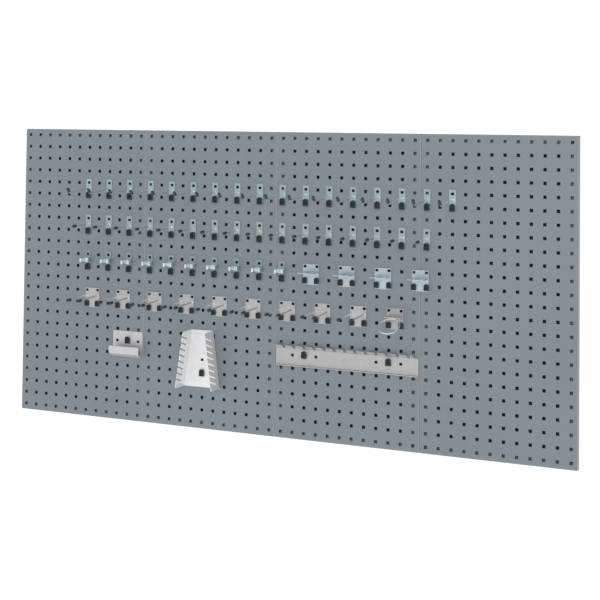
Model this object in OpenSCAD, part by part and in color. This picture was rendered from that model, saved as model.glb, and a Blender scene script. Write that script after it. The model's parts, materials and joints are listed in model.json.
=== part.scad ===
// Perforated steel tool wall: four panels with hooks, clips, holders and racks.
// Origin: centre of the rear plane that rests on the wall. +Z up, front faces -Y.

/* [Board] */
// Distance between neighbouring square holes
pitch = 38.1; // [36:0.1:48]
// Side of each square hole
hole_w = 9.525; // [8.5:0.025:12]
// Hole columns in one panel
panel_cols = 12; // [12:1:14]
// Hole rows in one panel
panel_rows = 24; // [24:1:28]
// Depth of a panel from its face to the wall
panel_depth = 14.29; // [12:0.01:20]
// Thickness of the panel sheet
sheet_t = 1.2; // [0.9:0.05:1.6]
// Outside bend radius round a panel's face
bend_r = 2.2; // [1.8:0.1:3]
// Gap between neighbouring panels
seam_gap = 0.8; // [0.2:0.1:2]
// Width of the returned lip behind a panel's edge
lip_w = 28; // [23:0.5:30]
// Side of the relief notch at each folded corner
relief_w = 2.6; // [2:0.1:4]
// Diameter of the wall-screw holes in the rear lips
screw_d = 5.5; // [4:0.1:6.5]

/* [Plates and tabs] */
// Thickness of the accessory plates
plate_t = 2; // [1.5:0.1:2.5]
// Width of a one-column plate
plate_w = 20.3; // [18:0.1:25]
// How far a one-column plate rises above its tab window
plate_rise = 13; // [10:0.5:18]
// How far a one-column plate drops below its lock
plate_drop = 9; // [7:0.5:20]
// How much wider than the hole spacing a two-column plate is
wide_extra = 12.4; // [10:0.1:14]
// How far a two-column plate rises above its tab windows
wide_rise = 8; // [7.5:0.5:18]
// How far a two-column plate drops below its locks
wide_drop = 14.5; // [7:0.5:20]
// Corner radius of the plates
corner_r = 1.6; // [0.5:0.1:3]
// Gap between a plate and the board
seat_gap = 0.15; // [0.05:0.05:0.5]
// Thickness of the tab that is bent back from a plate
tab_t = 2; // [1.5:0.1:2.5]
// Clearance of the tab in its square hole, each way
tab_clear = 0.4; // [0.1:0.05:0.8]
// Clearance between the tab's leg and the back of the sheet
leg_clear = 0.3; // [0.1:0.05:0.6]

/* [Locks] */
// Width of a lock's head
lock_w = 16.5; // [14:0.5:19]
// Height of a lock's head
lock_h = 21.5; // [19:0.5:28]
// Size of the locks on two-column plates, as a share of the others
small_lock = 0.88; // [0.8:0.02:1]
// Depth of a lock's head
lock_depth = 5.5; // [4:0.5:8]
// Side of the square opening in a plate for a lock
lock_hole = 8.6; // [7:0.1:9.5]
// Clearance of a lock's nose in its opening, each side
nose_clear = 0.3; // [0.1:0.05:0.6]

/* [Hooks] */
// Diameter of the hook rods
rod_d = 5; // [4:0.1:6.5]
// Height of a rod's root below its tab window
rod_below = 15; // [13:0.5:18]
// Reach of a long hook to its bend
long_reach = 110; // [80:1:140]
// Drop of a long hook from its root to its bend
long_drop = 13; // [0:0.5:20]
// Length of a long hook's upturned end
upturn_len = 19; // [17:0.5:30]
// Angle of the upturned end above level
upturn_angle = 48; // [30:1:90]
// Reach of a short hook
short_reach = 88; // [60:1:110]
// Drop of a short hook from its root to its end
short_drop = 5; // [0:0.5:12]
// Reach of a double hook
double_reach = 110; // [80:1:140]
// Drop of a double hook from its roots to its ends
double_drop = 6; // [0:0.5:15]
// Diameter of the soft tip caps
cap_d = 9.6; // [7.5:0.1:11]
// Length of the soft tip caps
cap_len = 17; // [12:0.5:18]

/* [Clip and holders] */
// Inside diameter of a spring clip's jaws
clip_d = 24; // [18:0.5:29]
// Thickness of the clip's spring strip
clip_t = 1.2; // [0.8:0.1:1.6]
// Width of the clip's spring strip
clip_w = 12; // [8:0.5:14]
// Shank diameter of the clip's rivet
rivet_d = 4; // [3:0.1:5]
// Depth of a plier holder's shelf
shelf_depth = 47; // [35:1:70]
// Width of the slots in a plier holder's shelf
shelf_slot_w = 8; // [5:0.5:10]
// Depth of the shelf that carries the wire ring
ring_arm = 26; // [15:1:40]
// Centre-line diameter of the wire ring
ring_d = 61; // [50:1:90]
// Diameter of the ring's wire
ring_wire = 3.4; // [3:0.1:6]
// Tilt of the ring below level
ring_tilt = 37; // [20:1:50]

/* [Ledge] */
// Width of the J-shaped ledge
ledge_w = 107; // [104:1:125]
// How far the ledge's plate rises above its tabs
ledge_rise = 32; // [20:1:33]
// How far the ledge's plate drops below its tabs
ledge_drop = 51; // [35:1:70]
// Depth of the ledge's trough
ledge_depth = 24; // [20:1:50]
// Rise of the trough's floor over its depth
ledge_slope = 14; // [5:1:25]
// Height of the ledge's front lip
ledge_lip = 23; // [12:1:35]

/* [Wrench rack] */
// Width of the rack's plate at its top
rack_top_w = 76; // [55:1:80]
// Width of the rack's plate at its bottom
rack_bottom_w = 124; // [90:1:130]
// How far the rack rises above its tab
rack_rise = 92; // [75:1:110]
// How far the rack drops below its tab
rack_drop = 82; // [70:1:100]
// Depth of the rack's wings
wing_depth = 60; // [48:1:90]
// Number of slots in each wing
slot_count = 8; // [5:1:8]
// Width of the slots in the wings
slot_w = 4; // [3:0.5:8]
// Reach of the slots back from the wing's front edge
slot_reach = 36; // [25:1:40]
// Slope of the slots down towards the wall
slot_angle = 19; // [0:1:25]

/* [Tool rail] */
// Margin between the rail's end and the panel's edge
rail_margin = 3.5; // [2:0.5:10]
// How far the rail's plate rises above its tabs
rail_rise = 20; // [18:1:30]
// How far the rail's plate drops below its tabs
rail_drop = 28; // [18:1:32]
// Forward reach of the rail's toothed top flange
tooth_reach = 12; // [8:0.5:20]
// Rise of the rail's toothed top flange
tooth_rise = 10; // [8:0.5:20]
// Number of teeth on the top flange
tooth_count = 14; // [10:1:16]
// Gap between neighbouring teeth
tooth_gap = 9; // [3:0.5:10]
// Reach of the rail's bottom flange
rail_hem = 7; // [4:0.5:10]

/* [Hidden] */
$fn = 48;

// Colours
board_grey = [0.51, 0.55, 0.58];
zinc = [0.74, 0.77, 0.77];
lock_black = [0.06, 0.08, 0.08];

// Board
panel_count = 4;
panel_pitch = panel_cols * pitch;
panel_w = panel_pitch - seam_gap;
board_w = panel_count * panel_pitch;
board_h = panel_rows * pitch;
cut = 1;

// Rows and columns of the accessories, counted from the top left hole
long_row = 4;
long_cols = [for (c = [8:2:38]) c];
short_row = 7;
short_cols = [for (c = [8:2:36]) c];
clip_row = 10;
clip_cols = [for (c = [8:2:24]) c];
plier_cols = [for (c = [29:3:35]) c];
double_row = 13;
double_cols = [for (c = [9:3:30]) c];
first_col = 6;
first_plier_col = 26;
ring_col = 33;
low_row = 17;
ledge_col = 10;
rack_col = 17;
rack_row = 18;
rail_panel = 2;
rail_lock_col = 26;
rail_far_lock_col = 33;

// Plates and tabs
plate_out = plate_t + seat_gap;
tab_rest = 0.1;
tab_w = hole_w - 2 * tab_clear;
tab_top = -hole_w / 2 + tab_rest + tab_t;
lift = hole_w - tab_t - tab_rest - tab_clear;
leg_slack = 0.6;
leg_drop = lift - leg_slack;
window_extra = 0.4;
window_w = tab_w + window_extra;
wide_w = pitch + wide_extra;

// Locks: the centre of a head below the centre of its opening
lock_sink = 0;
small_lock_sink = 2.5;
low_lock_sink = -4.5;
nose_w = lock_hole - 2 * nose_clear;
barb_reach = 3;
rim = 0.8;

// Rods and caps
bend_swell = 1.28;
cap_cover = cap_len - 3;

function col_x(c) = (c + 0.5) * pitch - board_w / 2;
function row_z(r) = board_h / 2 - (r + 0.5) * pitch;
function unit(v) = v / norm(v);
function side(a, b) = let (d = unit(b - a)) [-d[1], d[0]];
function side_in(p, i) = side(p[max(i - 1, 0)], p[max(i, 1)]);
function side_out(p, i) = side(p[min(i, len(p) - 2)], p[min(i + 1, len(p) - 1)]);
function mitre(p, i) = let (m = unit(side_in(p, i) + side_out(p, i))) m / (m * side_in(p, i));
// Outline of a bent strip: the path p thickened by t on its left-hand side
function strip(p, t) = concat(p, [for (i = [len(p) - 1:-1:0]) p[i] + t * mitre(p, i)]);

// Puts its children at a hole, with the board's face at y = 0 and -y outwards
module at_hole(c, r) {
    translate([col_x(c), -panel_depth, row_z(r)]) children();
}

// A flat outline stood up against the board, t thick, its rear face at depth y
module upright(y, t) {
    translate([0, y, 0]) rotate([90, 0, 0]) linear_extrude(t) children();
}

// A side outline, drawn as (outwards, up), carried along X over width w
module sideways(w) {
    rotate([0, 0, -90]) rotate([90, 0, 0]) translate([0, 0, -w / 2]) linear_extrude(w) children();
}

module box_outline(w, low, high, r) {
    translate([-w / 2, low + r]) square([w, high - low - 2 * r]);
    translate([-w / 2 + r, low]) square([w - 2 * r, high - low]);
    for (x = [-w / 2 + r, w / 2 - r]) {
        for (z = [low + r, high - r]) {
            translate([x, z]) circle(r);
        }
    }
}

module square_at(x, z, w) {
    translate([x - w / 2, z - w / 2]) square(w);
}

// ---- Board ----

// A rounded-front profile from x0 to x1, front at -depth, rear at 0
module fold_outline(x0, x1, front, rear, r) {
    translate([x0, front + r]) square([x1 - x0, rear - front - r]);
    translate([x0 + r, front]) square([x1 - x0 - 2 * r, r]);
    translate([x0 + r, front + r]) circle(r);
    translate([x1 - r, front + r]) circle(r);
}

// The block inside a panel's skin, inset from it, with all four front edges rounded
module panel_shell(w, h, inset) {
    r = bend_r - inset;
    front = -panel_depth + inset;
    intersection() {
        translate([0, 0, -h / 2 + inset]) linear_extrude(h - 2 * inset)
            fold_outline(-w / 2 + inset, w / 2 - inset, front, -inset, r);
        rotate([0, -90, 0]) translate([0, 0, -w / 2 + inset]) linear_extrude(w - 2 * inset)
            fold_outline(-h / 2 + inset, h / 2 - inset, front, -inset, r);
    }
}

module panel(i) {
    w = panel_w;
    h = board_h;
    screw_x = (panel_cols - 1) * pitch / 2;
    screw_z = (panel_rows - 1) * pitch / 2;
    color(board_grey) translate([(i + 0.5) * panel_pitch - board_w / 2, 0, 0]) difference() {
        panel_shell(w, h, 0);
        panel_shell(w, h, sheet_t);
        // open back inside the lips
        translate([-w / 2 + lip_w, -sheet_t - cut, -h / 2 + lip_w])
            cube([w - 2 * lip_w, sheet_t + 2 * cut, h - 2 * lip_w]);
        // square holes
        for (c = [0:panel_cols - 1]) {
            for (r = [0:panel_rows - 1]) {
                translate([(c + 0.5) * pitch - panel_pitch / 2 - hole_w / 2,
                           -panel_depth - cut, row_z(r) - hole_w / 2])
                    cube([hole_w, sheet_t + 2 * cut, hole_w]);
            }
        }
        // relief notches and mitred joints of the folded corners, wall-screw holes
        for (sx = [-1, 1]) {
            for (sz = [-1, 1]) {
                translate([sx * w / 2 - relief_w / 2, -panel_depth + bend_r, sz * h / 2 - relief_w / 2])
                    cube([relief_w, panel_depth, relief_w]);
                translate([sx * w / 2, -sheet_t / 2, sz * h / 2]) rotate([0, sx * sz * -45, 0])
                    cube([3 * lip_w, sheet_t + cut, 0.5], center = true);
                translate([sx * screw_x, -sheet_t - cut, sz * screw_z]) rotate([-90, 0, 0])
                    cylinder(h = sheet_t + 2 * cut, d = screw_d);
            }
        }
    }
}

// ---- Plates, tabs and locks ----

// Tab bent back from a plate's window: through the square hole, then down behind the sheet
module tab() {
    reach = sheet_t + leg_clear + tab_t;
    translate([-tab_w / 2, -seat_gap - plate_t / 2, tab_top - tab_t])
        cube([tab_w, seat_gap + plate_t / 2 + reach, tab_t]);
    translate([-tab_w / 2, reach - tab_t, -hole_w / 2 - leg_drop])
        cube([tab_w, tab_t, tab_top + hole_w / 2 + leg_drop]);
}

module window_outline() {
    translate([-window_w / 2, tab_top]) square([window_w, hole_w / 2 - tab_top + window_extra]);
}

// Plate of width w with a tab window above and a lock opening below in each of its columns
module hook_plate(w, drop, rise, columns) {
    color(zinc) {
        upright(-seat_gap, plate_t) difference() {
            box_outline(w, -pitch - drop, rise, corner_r);
            for (x = columns) {
                translate([x * pitch, 0]) window_outline();
                square_at(x * pitch, -pitch, lock_hole);
            }
        }
        for (x = columns) {
            translate([x * pitch, 0, 0]) tab();
        }
    }
}

module narrow_plate() {
    hook_plate(plate_w, plate_drop, plate_rise, [0]);
}

module wide_plate() {
    hook_plate(wide_w, wide_drop, wide_rise, [-0.5, 0.5]);
}

module arch_outline(w, h) {
    translate([-w / 2, -h / 2]) square([w, h - w / 4]);
    translate([0, h / 2 - w / 4]) intersection() {
        translate([0, -w * 0.375]) circle(w * 0.625);
        translate([-w / 2, -cut]) square([w, w]);
    }
}

// Lock insert with its opening's centre at the origin; the head sits lower by sink
module lock(size, sink, through) {
    w = lock_w * size;
    h = lock_h * size;
    nose_end = through ? sheet_t + barb_reach : -seat_gap;
    nose_start = -plate_out - lock_depth / 2;
    color(lock_black) {
        translate([0, 0, -sink]) difference() {
            union() {
                upright(-plate_out, lock_depth - rim) arch_outline(w, h);
                upright(-plate_out - lock_depth + rim, rim) arch_outline(w - 2 * rim, h - 2 * rim);
            }
            // finger recess with ribs between its slots
            for (k = [-1:1]) {
                translate([k * w / 5 - w / 16, -plate_out - lock_depth - cut, -h / 4])
                    cube([w / 8, cut + rim, h / 2]);
            }
        }
        translate([-nose_w / 2, nose_start, -nose_w / 2]) cube([nose_w, nose_end - nose_start, nose_w]);
    }
}

// ---- Hooks ----

root = [0, -plate_out, -rod_below];

// Puts children that run along +X on the rod's root, outwards and sloping down
module from_root(reach, drop) {
    translate(root) rotate([0, 0, -90]) rotate([0, atan(drop / reach), 0]) children();
}

module rod_along(start, end) {
    translate([start, 0, 0]) rotate([0, 90, 0]) cylinder(h = end - start, d = rod_d);
}

// Straight rod, cut flush where it meets the plate
module straight_rod(reach, drop) {
    color(zinc) difference() {
        from_root(reach, drop) rod_along(-rod_d, norm([reach, drop]));
        translate([-rod_d, -plate_out, -rod_below - rod_d]) cube(2 * rod_d);
    }
}

long_len = norm([long_reach, long_drop]);
long_turn = upturn_angle + atan(long_drop / long_reach);

// Moves children that run along +X to the long hook's upturned end
module upturned() {
    from_root(long_reach, long_drop) translate([long_len, 0, 0]) rotate([0, -long_turn, 0]) children();
}

// Soft cap pushed over a rod's end, which is at the origin of the closed tube
module cap_shape() {
    dome = cap_len - cap_cover - cap_d / 2;
    color(lock_black) rotate([0, 90, 0]) rotate_extrude() difference() {
        union() {
            translate([0, -cap_cover]) square([cap_d / 2, cap_cover + dome]);
            intersection() {
                translate([0, dome]) circle(d = cap_d);
                translate([0, dome]) square(cap_d);
            }
        }
        translate([0, -cap_cover - cut]) square([rod_d / 2, cap_cover + cut]);
    }
}

module straight_cap(reach, drop) {
    from_root(reach, drop) translate([norm([reach, drop]), 0, 0]) cap_shape();
}

module long_hook_rod() {
    straight_rod(long_reach, long_drop);
    color(zinc) upturned() {
        sphere(d = rod_d * bend_swell);
        rod_along(0, upturn_len);
    }
}

module long_hook_cap() {
    upturned() translate([upturn_len, 0, 0]) cap_shape();
}

module double_rods() {
    for (x = [-0.5, 0.5]) {
        translate([x * pitch, 0, 0]) straight_rod(double_reach, double_drop);
    }
}

module double_caps() {
    for (x = [-0.5, 0.5]) {
        translate([x * pitch, 0, 0]) straight_cap(double_reach, double_drop);
    }
}

// ---- Spring clip ----

clip_z = -rod_below - 2;
seat_angle = 22;
throat_angle = 52;
clip_seat = clip_d / 2 * cos(seat_angle);

function on_jaw(a) = clip_d / 2 * [cos(a), sin(a)];
function jaw_arc(from, to) = [for (k = [0:10]) on_jaw(from + (to - from) * k / 10)];
flare_tip = clip_d * [0.53, -0.7];
// The strip's inner face seen from above: flare, jaw, flat seat, jaw, flare
clip_path = concat(
    [[-flare_tip[0], flare_tip[1]]],
    jaw_arc(180 + throat_angle, 90 + seat_angle),
    jaw_arc(90 - seat_angle, -throat_angle),
    [flare_tip]
);

module clip_spring() {
    color(zinc) difference() {
        translate([0, -plate_out - clip_seat - clip_t, clip_z - clip_w / 2]) linear_extrude(clip_w)
            polygon(strip(clip_path, clip_t));
        rivet_hole();
    }
}

module rivet_hole() {
    translate([0, cut, clip_z]) rotate([90, 0, 0])
        cylinder(h = plate_out + clip_t + 2 * cut, d = rivet_d);
}

module clip_rivet() {
    head = 1;
    color(zinc) translate([0, -seat_gap, clip_z]) rotate([90, 0, 0]) {
        cylinder(h = plate_t + clip_t, d = rivet_d);
        translate([0, 0, plate_t + clip_t]) cylinder(h = head, d = rivet_d * 1.7);
    }
}

module clip_plate() {
    difference() {
        narrow_plate();
        rivet_hole();
    }
}

// ---- Plier holder and ring holder ----

shelf_z = -rod_below - 2;
shelf_w = wide_w - 2;
shelf_slot_x = 0.27 * shelf_w;
shelf_slot_len = 0.62 * shelf_depth;
shelf_slot_front = 0.86 * shelf_depth;

module shelf(depth) {
    color(zinc) translate([0, -plate_out, shelf_z]) linear_extrude(plate_t) difference() {
        translate([-shelf_w / 2, -depth]) square([shelf_w, depth]);
        children();
    }
}

module plier_shelf() {
    shelf(shelf_depth) {
        for (x = [-shelf_slot_x, shelf_slot_x]) {
            translate([x - shelf_slot_w / 2, -shelf_slot_front]) square([shelf_slot_w, shelf_slot_len]);
        }
    }
}

// The ring hangs forwards and down from under the front edge of its shelf
module ring_loop() {
    c = ring_d / 2;
    color(zinc) translate([0, -plate_out - ring_arm + ring_wire, shelf_z - ring_wire / 2])
        rotate([ring_tilt, 0, 0]) translate([0, -c, 0]) rotate_extrude()
            translate([c, 0]) circle(d = ring_wire);
}

// ---- Ledge ----

module ledge_plate() {
    lip_lean = 2;
    path = [
        [seat_gap, ledge_rise],
        [seat_gap, -ledge_drop],
        [seat_gap + ledge_depth, -ledge_drop + ledge_slope],
        [seat_gap + ledge_depth + lip_lean, -ledge_drop + ledge_slope + ledge_lip],
    ];
    color(zinc) {
        difference() {
            sideways(ledge_w) polygon(strip(path, plate_t));
            upright(cut, plate_t + 3 * cut) {
                for (x = [-pitch, pitch]) {
                    translate([x, 0]) window_outline();
                }
                square_at(0, 0, lock_hole);
            }
        }
        for (x = [-pitch, pitch]) {
            translate([x, 0, 0]) tab();
        }
    }
}

// ---- Wrench rack ----

rack_h = rack_rise + rack_drop;
rack_lean = atan((rack_bottom_w - rack_top_w) / 2 / rack_h);
wing_len = rack_h / cos(rack_lean);
wing_corner = 8;
slots_low = 20;
slots_high = 6;
slot_pitch = (wing_len - slots_low - slots_high) / slot_count;
slot_len = slot_reach / cos(slot_angle);

// A wing laid flat: the bend along the left edge, depth to the right
module wing_outline() {
    r = wing_corner;
    difference() {
        union() {
            square([wing_depth - r, wing_len]);
            translate([0, r]) square([wing_depth, wing_len - 2 * r]);
            for (z = [r, wing_len - r]) {
                translate([wing_depth - r, z]) circle(r);
            }
        }
        for (k = [0:slot_count - 1]) {
            translate([wing_depth, slots_low + (k + 0.5) * slot_pitch]) rotate(180 + slot_angle) {
                translate([-3 * slot_w, -slot_w / 2]) square([slot_len + 3 * slot_w, slot_w]);
                translate([slot_len, 0]) circle(slot_w / 2);
            }
        }
    }
}

module wing() {
    // the wing stands on the plate's sloping right edge
    translate([rack_bottom_w / 2, -seat_gap, -rack_drop]) rotate([0, -rack_lean, 0]) rotate([90, 0, -90])
        linear_extrude(plate_t) wing_outline();
}

module wrench_rack_plate() {
    // the plate ends inside the wings' thickness
    low_w = (rack_bottom_w - plate_t) / 2;
    high_w = (rack_top_w - plate_t) / 2;
    color(zinc) {
        upright(-seat_gap, plate_t) difference() {
            polygon([
                [-low_w, -rack_drop], [low_w, -rack_drop],
                [high_w, rack_rise], [-high_w, rack_rise],
            ]);
            window_outline();
            square_at(0, -pitch, lock_hole);
        }
        tab();
        wing();
        mirror([1, 0, 0]) wing();
    }
}

// ---- Tool rail ----

rail_w = panel_pitch - seam_gap - 2 * rail_margin;
rail_x = (rail_panel + 0.5) * panel_pitch - board_w / 2;
tooth_pitch = (rail_w + tooth_gap) / tooth_count;
tooth_foot = 2;
scallop_r = rail_hem * 0.6;

module at_rail() {
    translate([rail_x, -panel_depth, row_z(low_row)]) children();
}

module tool_rail_plate() {
    path = [
        [seat_gap + tooth_reach, rail_rise + tooth_rise],
        [seat_gap, rail_rise],
        [seat_gap, -rail_drop],
        [seat_gap + rail_hem, -rail_drop - rail_hem / 3],
    ];
    lock_cols = [rail_lock_col, rail_far_lock_col];
    color(zinc) at_rail() {
        difference() {
            sideways(rail_w) polygon(strip(path, plate_t));
            for (k = [1:tooth_count - 1]) {
                x = -rail_w / 2 + k * tooth_pitch;
                translate([x - tooth_gap, -tooth_reach - 3 * plate_t, rail_rise + tooth_foot])
                    cube([tooth_gap, tooth_reach + 4 * plate_t, tooth_rise + 2 * plate_t]);
                // shallow scallops in the bottom flange
                translate([x - tooth_pitch / 2, -rail_hem - plate_t - seat_gap, -rail_drop - 2 * rail_hem])
                    cylinder(h = 3 * rail_hem, r = scallop_r);
            }
            for (c = lock_cols) {
                translate([col_x(c) - rail_x, 0, 0]) upright(cut, plate_t + 2 * cut) {
                    square_at(0, 0, lock_hole);
                    translate([-pitch, 0]) window_outline();
                    translate([pitch, 0]) window_outline();
                }
            }
        }
        for (c = lock_cols) {
            for (x = [-pitch, pitch]) {
                translate([col_x(c) - rail_x + x, 0, 0]) tab();
            }
        }
    }
}

// ---- Rows of accessories ----

module in_row(cols, r) {
    for (c = cols) {
        at_hole(c, r) children();
    }
}

half = 0.5;

module narrow_lock(through) {
    translate([0, 0, -pitch]) lock(1, lock_sink, through);
}

module wide_lock(x, through) {
    translate([x * pitch, 0, -pitch]) lock(small_lock, small_lock_sink, through);
}

module wide_locks() {
    wide_lock(-half, true);
    wide_lock(half, true);
}

module low_lock(c) {
    at_hole(c, low_row) lock(1, low_lock_sink, false);
}

module in_wide_row(cols, r) {
    for (c = cols) {
        at_hole(c + half, r) children();
    }
}

module first(r) {
    at_hole(first_col, r) children();
}

module first_plier() {
    at_hole(first_plier_col + half, clip_row) children();
}

module first_double() {
    at_hole(first_col + half, double_row) children();
}

module at_ring() {
    at_hole(ring_col + half, double_row) children();
}

panel(0);  // panel_1
panel(1);  // panel_2
panel(2);  // panel_3
panel(3);  // panel_4

in_row(long_cols, long_row) narrow_plate();  // long_hook_plates
in_row(long_cols, long_row) long_hook_rod();  // long_hook_rods
in_row(long_cols, long_row) long_hook_cap();  // long_hook_caps
in_row(long_cols, long_row) narrow_lock(true);  // long_hook_locks
first(long_row) narrow_plate();  // first_long_hook_plate
first(long_row) long_hook_rod();  // first_long_hook_rod
first(long_row) long_hook_cap();  // first_long_hook_cap
first(long_row) narrow_lock(false);  // first_long_hook_lock

in_row(short_cols, short_row) narrow_plate();  // short_hook_plates
in_row(short_cols, short_row) straight_rod(short_reach, short_drop);  // short_hook_rods
in_row(short_cols, short_row) straight_cap(short_reach, short_drop);  // short_hook_caps
in_row(short_cols, short_row) narrow_lock(true);  // short_hook_locks
first(short_row) narrow_plate();  // first_short_hook_plate
first(short_row) straight_rod(short_reach, short_drop);  // first_short_hook_rod
first(short_row) straight_cap(short_reach, short_drop);  // first_short_hook_cap
first(short_row) narrow_lock(false);  // first_short_hook_lock

in_row(clip_cols, clip_row) clip_plate();  // clip_plates
in_row(clip_cols, clip_row) clip_spring();  // clip_springs
in_row(clip_cols, clip_row) clip_rivet();  // clip_rivets
in_row(clip_cols, clip_row) narrow_lock(true);  // clip_locks
first(clip_row) clip_plate();  // first_clip_plate
first(clip_row) clip_spring();  // first_clip_spring
first(clip_row) clip_rivet();  // first_clip_rivet
first(clip_row) narrow_lock(false);  // first_clip_lock

in_wide_row(plier_cols, clip_row) wide_plate();  // plier_plates
in_wide_row(plier_cols, clip_row) plier_shelf();  // plier_shelves
in_wide_row(plier_cols, clip_row) wide_locks();  // plier_locks
first_plier() wide_plate();  // first_plier_plate
first_plier() plier_shelf();  // first_plier_shelf
first_plier() wide_lock(-half, false);  // first_plier_lock_left
first_plier() wide_lock(half, false);  // first_plier_lock_right

in_wide_row(double_cols, double_row) wide_plate();  // double_hook_plates
in_wide_row(double_cols, double_row) double_rods();  // double_hook_rods
in_wide_row(double_cols, double_row) double_caps();  // double_hook_caps
in_wide_row(double_cols, double_row) wide_locks();  // double_hook_locks
first_double() wide_plate();  // first_double_plate
first_double() double_rods();  // first_double_rods
first_double() double_caps();  // first_double_caps
first_double() wide_lock(-half, false);  // first_double_lock_left
first_double() wide_lock(half, false);  // first_double_lock_right

at_ring() wide_plate();  // ring_plate
at_ring() shelf(ring_arm);  // ring_shelf
at_ring() ring_loop();  // ring_wire_loop
at_ring() wide_lock(-half, false);  // ring_lock_left
at_ring() wide_lock(half, false);  // ring_lock_right

at_hole(ledge_col, low_row) ledge_plate();
low_lock(ledge_col);  // ledge_lock
at_hole(rack_col, rack_row) wrench_rack_plate();
at_hole(rack_col, rack_row) narrow_lock(false);  // wrench_rack_lock
tool_rail_plate();
low_lock(rail_lock_col);  // tool_rail_lock_left
low_lock(rail_far_lock_col);  // tool_rail_lock_right
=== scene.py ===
"""Finished looks of a perforated steel tool wall, laid out as an add-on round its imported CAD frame."""

import json
import math
import random

import bmesh
import bpy
from bpy.props import FloatProperty, FloatVectorProperty, IntProperty, PointerProperty
from mathutils import Matrix, Vector
from mathutils.geometry import tessellate_polygon


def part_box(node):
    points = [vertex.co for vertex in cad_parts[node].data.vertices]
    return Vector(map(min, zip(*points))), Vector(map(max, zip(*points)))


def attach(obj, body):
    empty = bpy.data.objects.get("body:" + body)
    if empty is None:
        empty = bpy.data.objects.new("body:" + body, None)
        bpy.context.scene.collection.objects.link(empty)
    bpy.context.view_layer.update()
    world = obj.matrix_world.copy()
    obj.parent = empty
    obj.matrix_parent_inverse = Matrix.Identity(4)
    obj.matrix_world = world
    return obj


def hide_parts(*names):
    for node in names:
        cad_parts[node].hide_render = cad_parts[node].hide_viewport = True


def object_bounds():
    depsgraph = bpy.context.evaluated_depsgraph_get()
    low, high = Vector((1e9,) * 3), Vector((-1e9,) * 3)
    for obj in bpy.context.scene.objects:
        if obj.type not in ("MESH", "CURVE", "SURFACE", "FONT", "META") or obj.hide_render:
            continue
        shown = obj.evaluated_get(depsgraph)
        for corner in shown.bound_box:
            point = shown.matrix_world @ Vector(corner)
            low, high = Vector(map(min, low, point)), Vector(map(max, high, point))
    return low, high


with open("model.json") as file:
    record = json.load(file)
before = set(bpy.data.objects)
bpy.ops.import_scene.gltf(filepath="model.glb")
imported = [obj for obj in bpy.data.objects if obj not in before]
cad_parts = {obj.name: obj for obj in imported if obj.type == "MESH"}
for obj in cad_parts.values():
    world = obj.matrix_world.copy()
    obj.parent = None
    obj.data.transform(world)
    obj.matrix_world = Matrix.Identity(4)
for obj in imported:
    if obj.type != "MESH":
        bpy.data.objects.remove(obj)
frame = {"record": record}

bl_info = {
    "name": "Tool Wall",
    "version": (1, 0, 0),
    "blender": (4, 5, 0),
    "location": "3D View > Sidebar > Tool Wall",
    "description": "Builds a perforated steel tool wall with its hooks, clips, holders and racks",
    "category": "Object",
}

MM = 0.001
CAD_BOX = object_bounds()
PANELS = 4
COLUMNS = 12
ROWS = 24
ALL_MOUNTS = {mount["name"]: mount for mount in frame["record"]["mounts"]}
PITCH = ALL_MOUNTS["wall_screws_1"]["dims"]["spacing_x_mm"] * MM / (COLUMNS - 1)
FACE_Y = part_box("panel_1")[0][1]
BOARD_W = PANELS * COLUMNS * PITCH
BOARD_H = ROWS * PITCH
TAB_REST = 0.1 * MM
TAB_CLEAR = 0.4 * MM
LEG_SLACK = 0.6 * MM
LEG_GAP = 0.3 * MM
WINDOW_EXTRA = 0.4 * MM
BARB_REACH = 3 * MM
HOLDER_DROP = 2 * MM
ROD_SINK = 0.6 * MM
WELD = 1.7 * MM
WING_CORNER = 8 * MM
SLOTS_LOW = 20 * MM
SLOTS_HIGH = 6 * MM

# Rows and columns of the accessories, counted from the top left hole
FIRST = 6
LONG_ROW, SHORT_ROW, CLIP_ROW, DOUBLE_ROW, LOW_ROW, RACK_ROW = 4, 7, 10, 13, 17, 18
LONG_COLUMNS = range(8, 39, 2)
SHORT_COLUMNS = range(8, 37, 2)
CLIP_COLUMNS = range(8, 25, 2)
PLIER_FIRST, PLIER_COLUMNS = 26, (29, 32, 35)
DOUBLE_COLUMNS = range(9, 31, 3)
RING_COLUMN, LEDGE_COLUMN, RACK_COLUMN = 33, 10, 17
RAIL_PANEL, RAIL_LOCKS = 2, (26, 33)


def hole_place(column, row):
    """The move that takes a piece drawn at the origin to a hole on the board's face."""
    x = (column + 0.5) * PITCH - BOARD_W / 2
    z = BOARD_H / 2 - (row + 0.5) * PITCH
    return Matrix.Translation((x, FACE_Y, z))


# ---------------------------------------------------------------- sizes and colours


def length(name, description, default):
    return FloatProperty(name=name, description=description, default=default, min=0.0, unit="LENGTH", precision=5)


def angle(name, description, degrees):
    return FloatProperty(name=name, description=description, default=math.radians(degrees), subtype="ANGLE")


def colour(name, description, default):
    return FloatVectorProperty(name=name, description=description, default=default, size=3, min=0.0, max=1.0,
                               subtype="COLOR")


class BoardSizes(bpy.types.PropertyGroup):
    """Sizes of the folded, perforated panels."""

    sheet: length("Sheet", "Thickness of the panel sheet", 1.2 * MM)
    hole: length("Hole", "Side of each square hole", 9.525 * MM)
    hole_corner: length("Hole corner", "Corner radius of the square holes", 0.7 * MM)
    burr: length("Hole edge", "Roll of the holes' edges under the enamel", 0.3 * MM)
    bend: length("Bend", "Outside radius of the folded edges", 2.2 * MM)
    lip: length("Lip", "Width of the lip returned behind each edge", 28 * MM)
    seam: length("Seam", "Gap between neighbouring panels", 0.8 * MM)
    screw: length("Screw hole", "Diameter of the wall-screw holes", 5.5 * MM)


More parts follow.
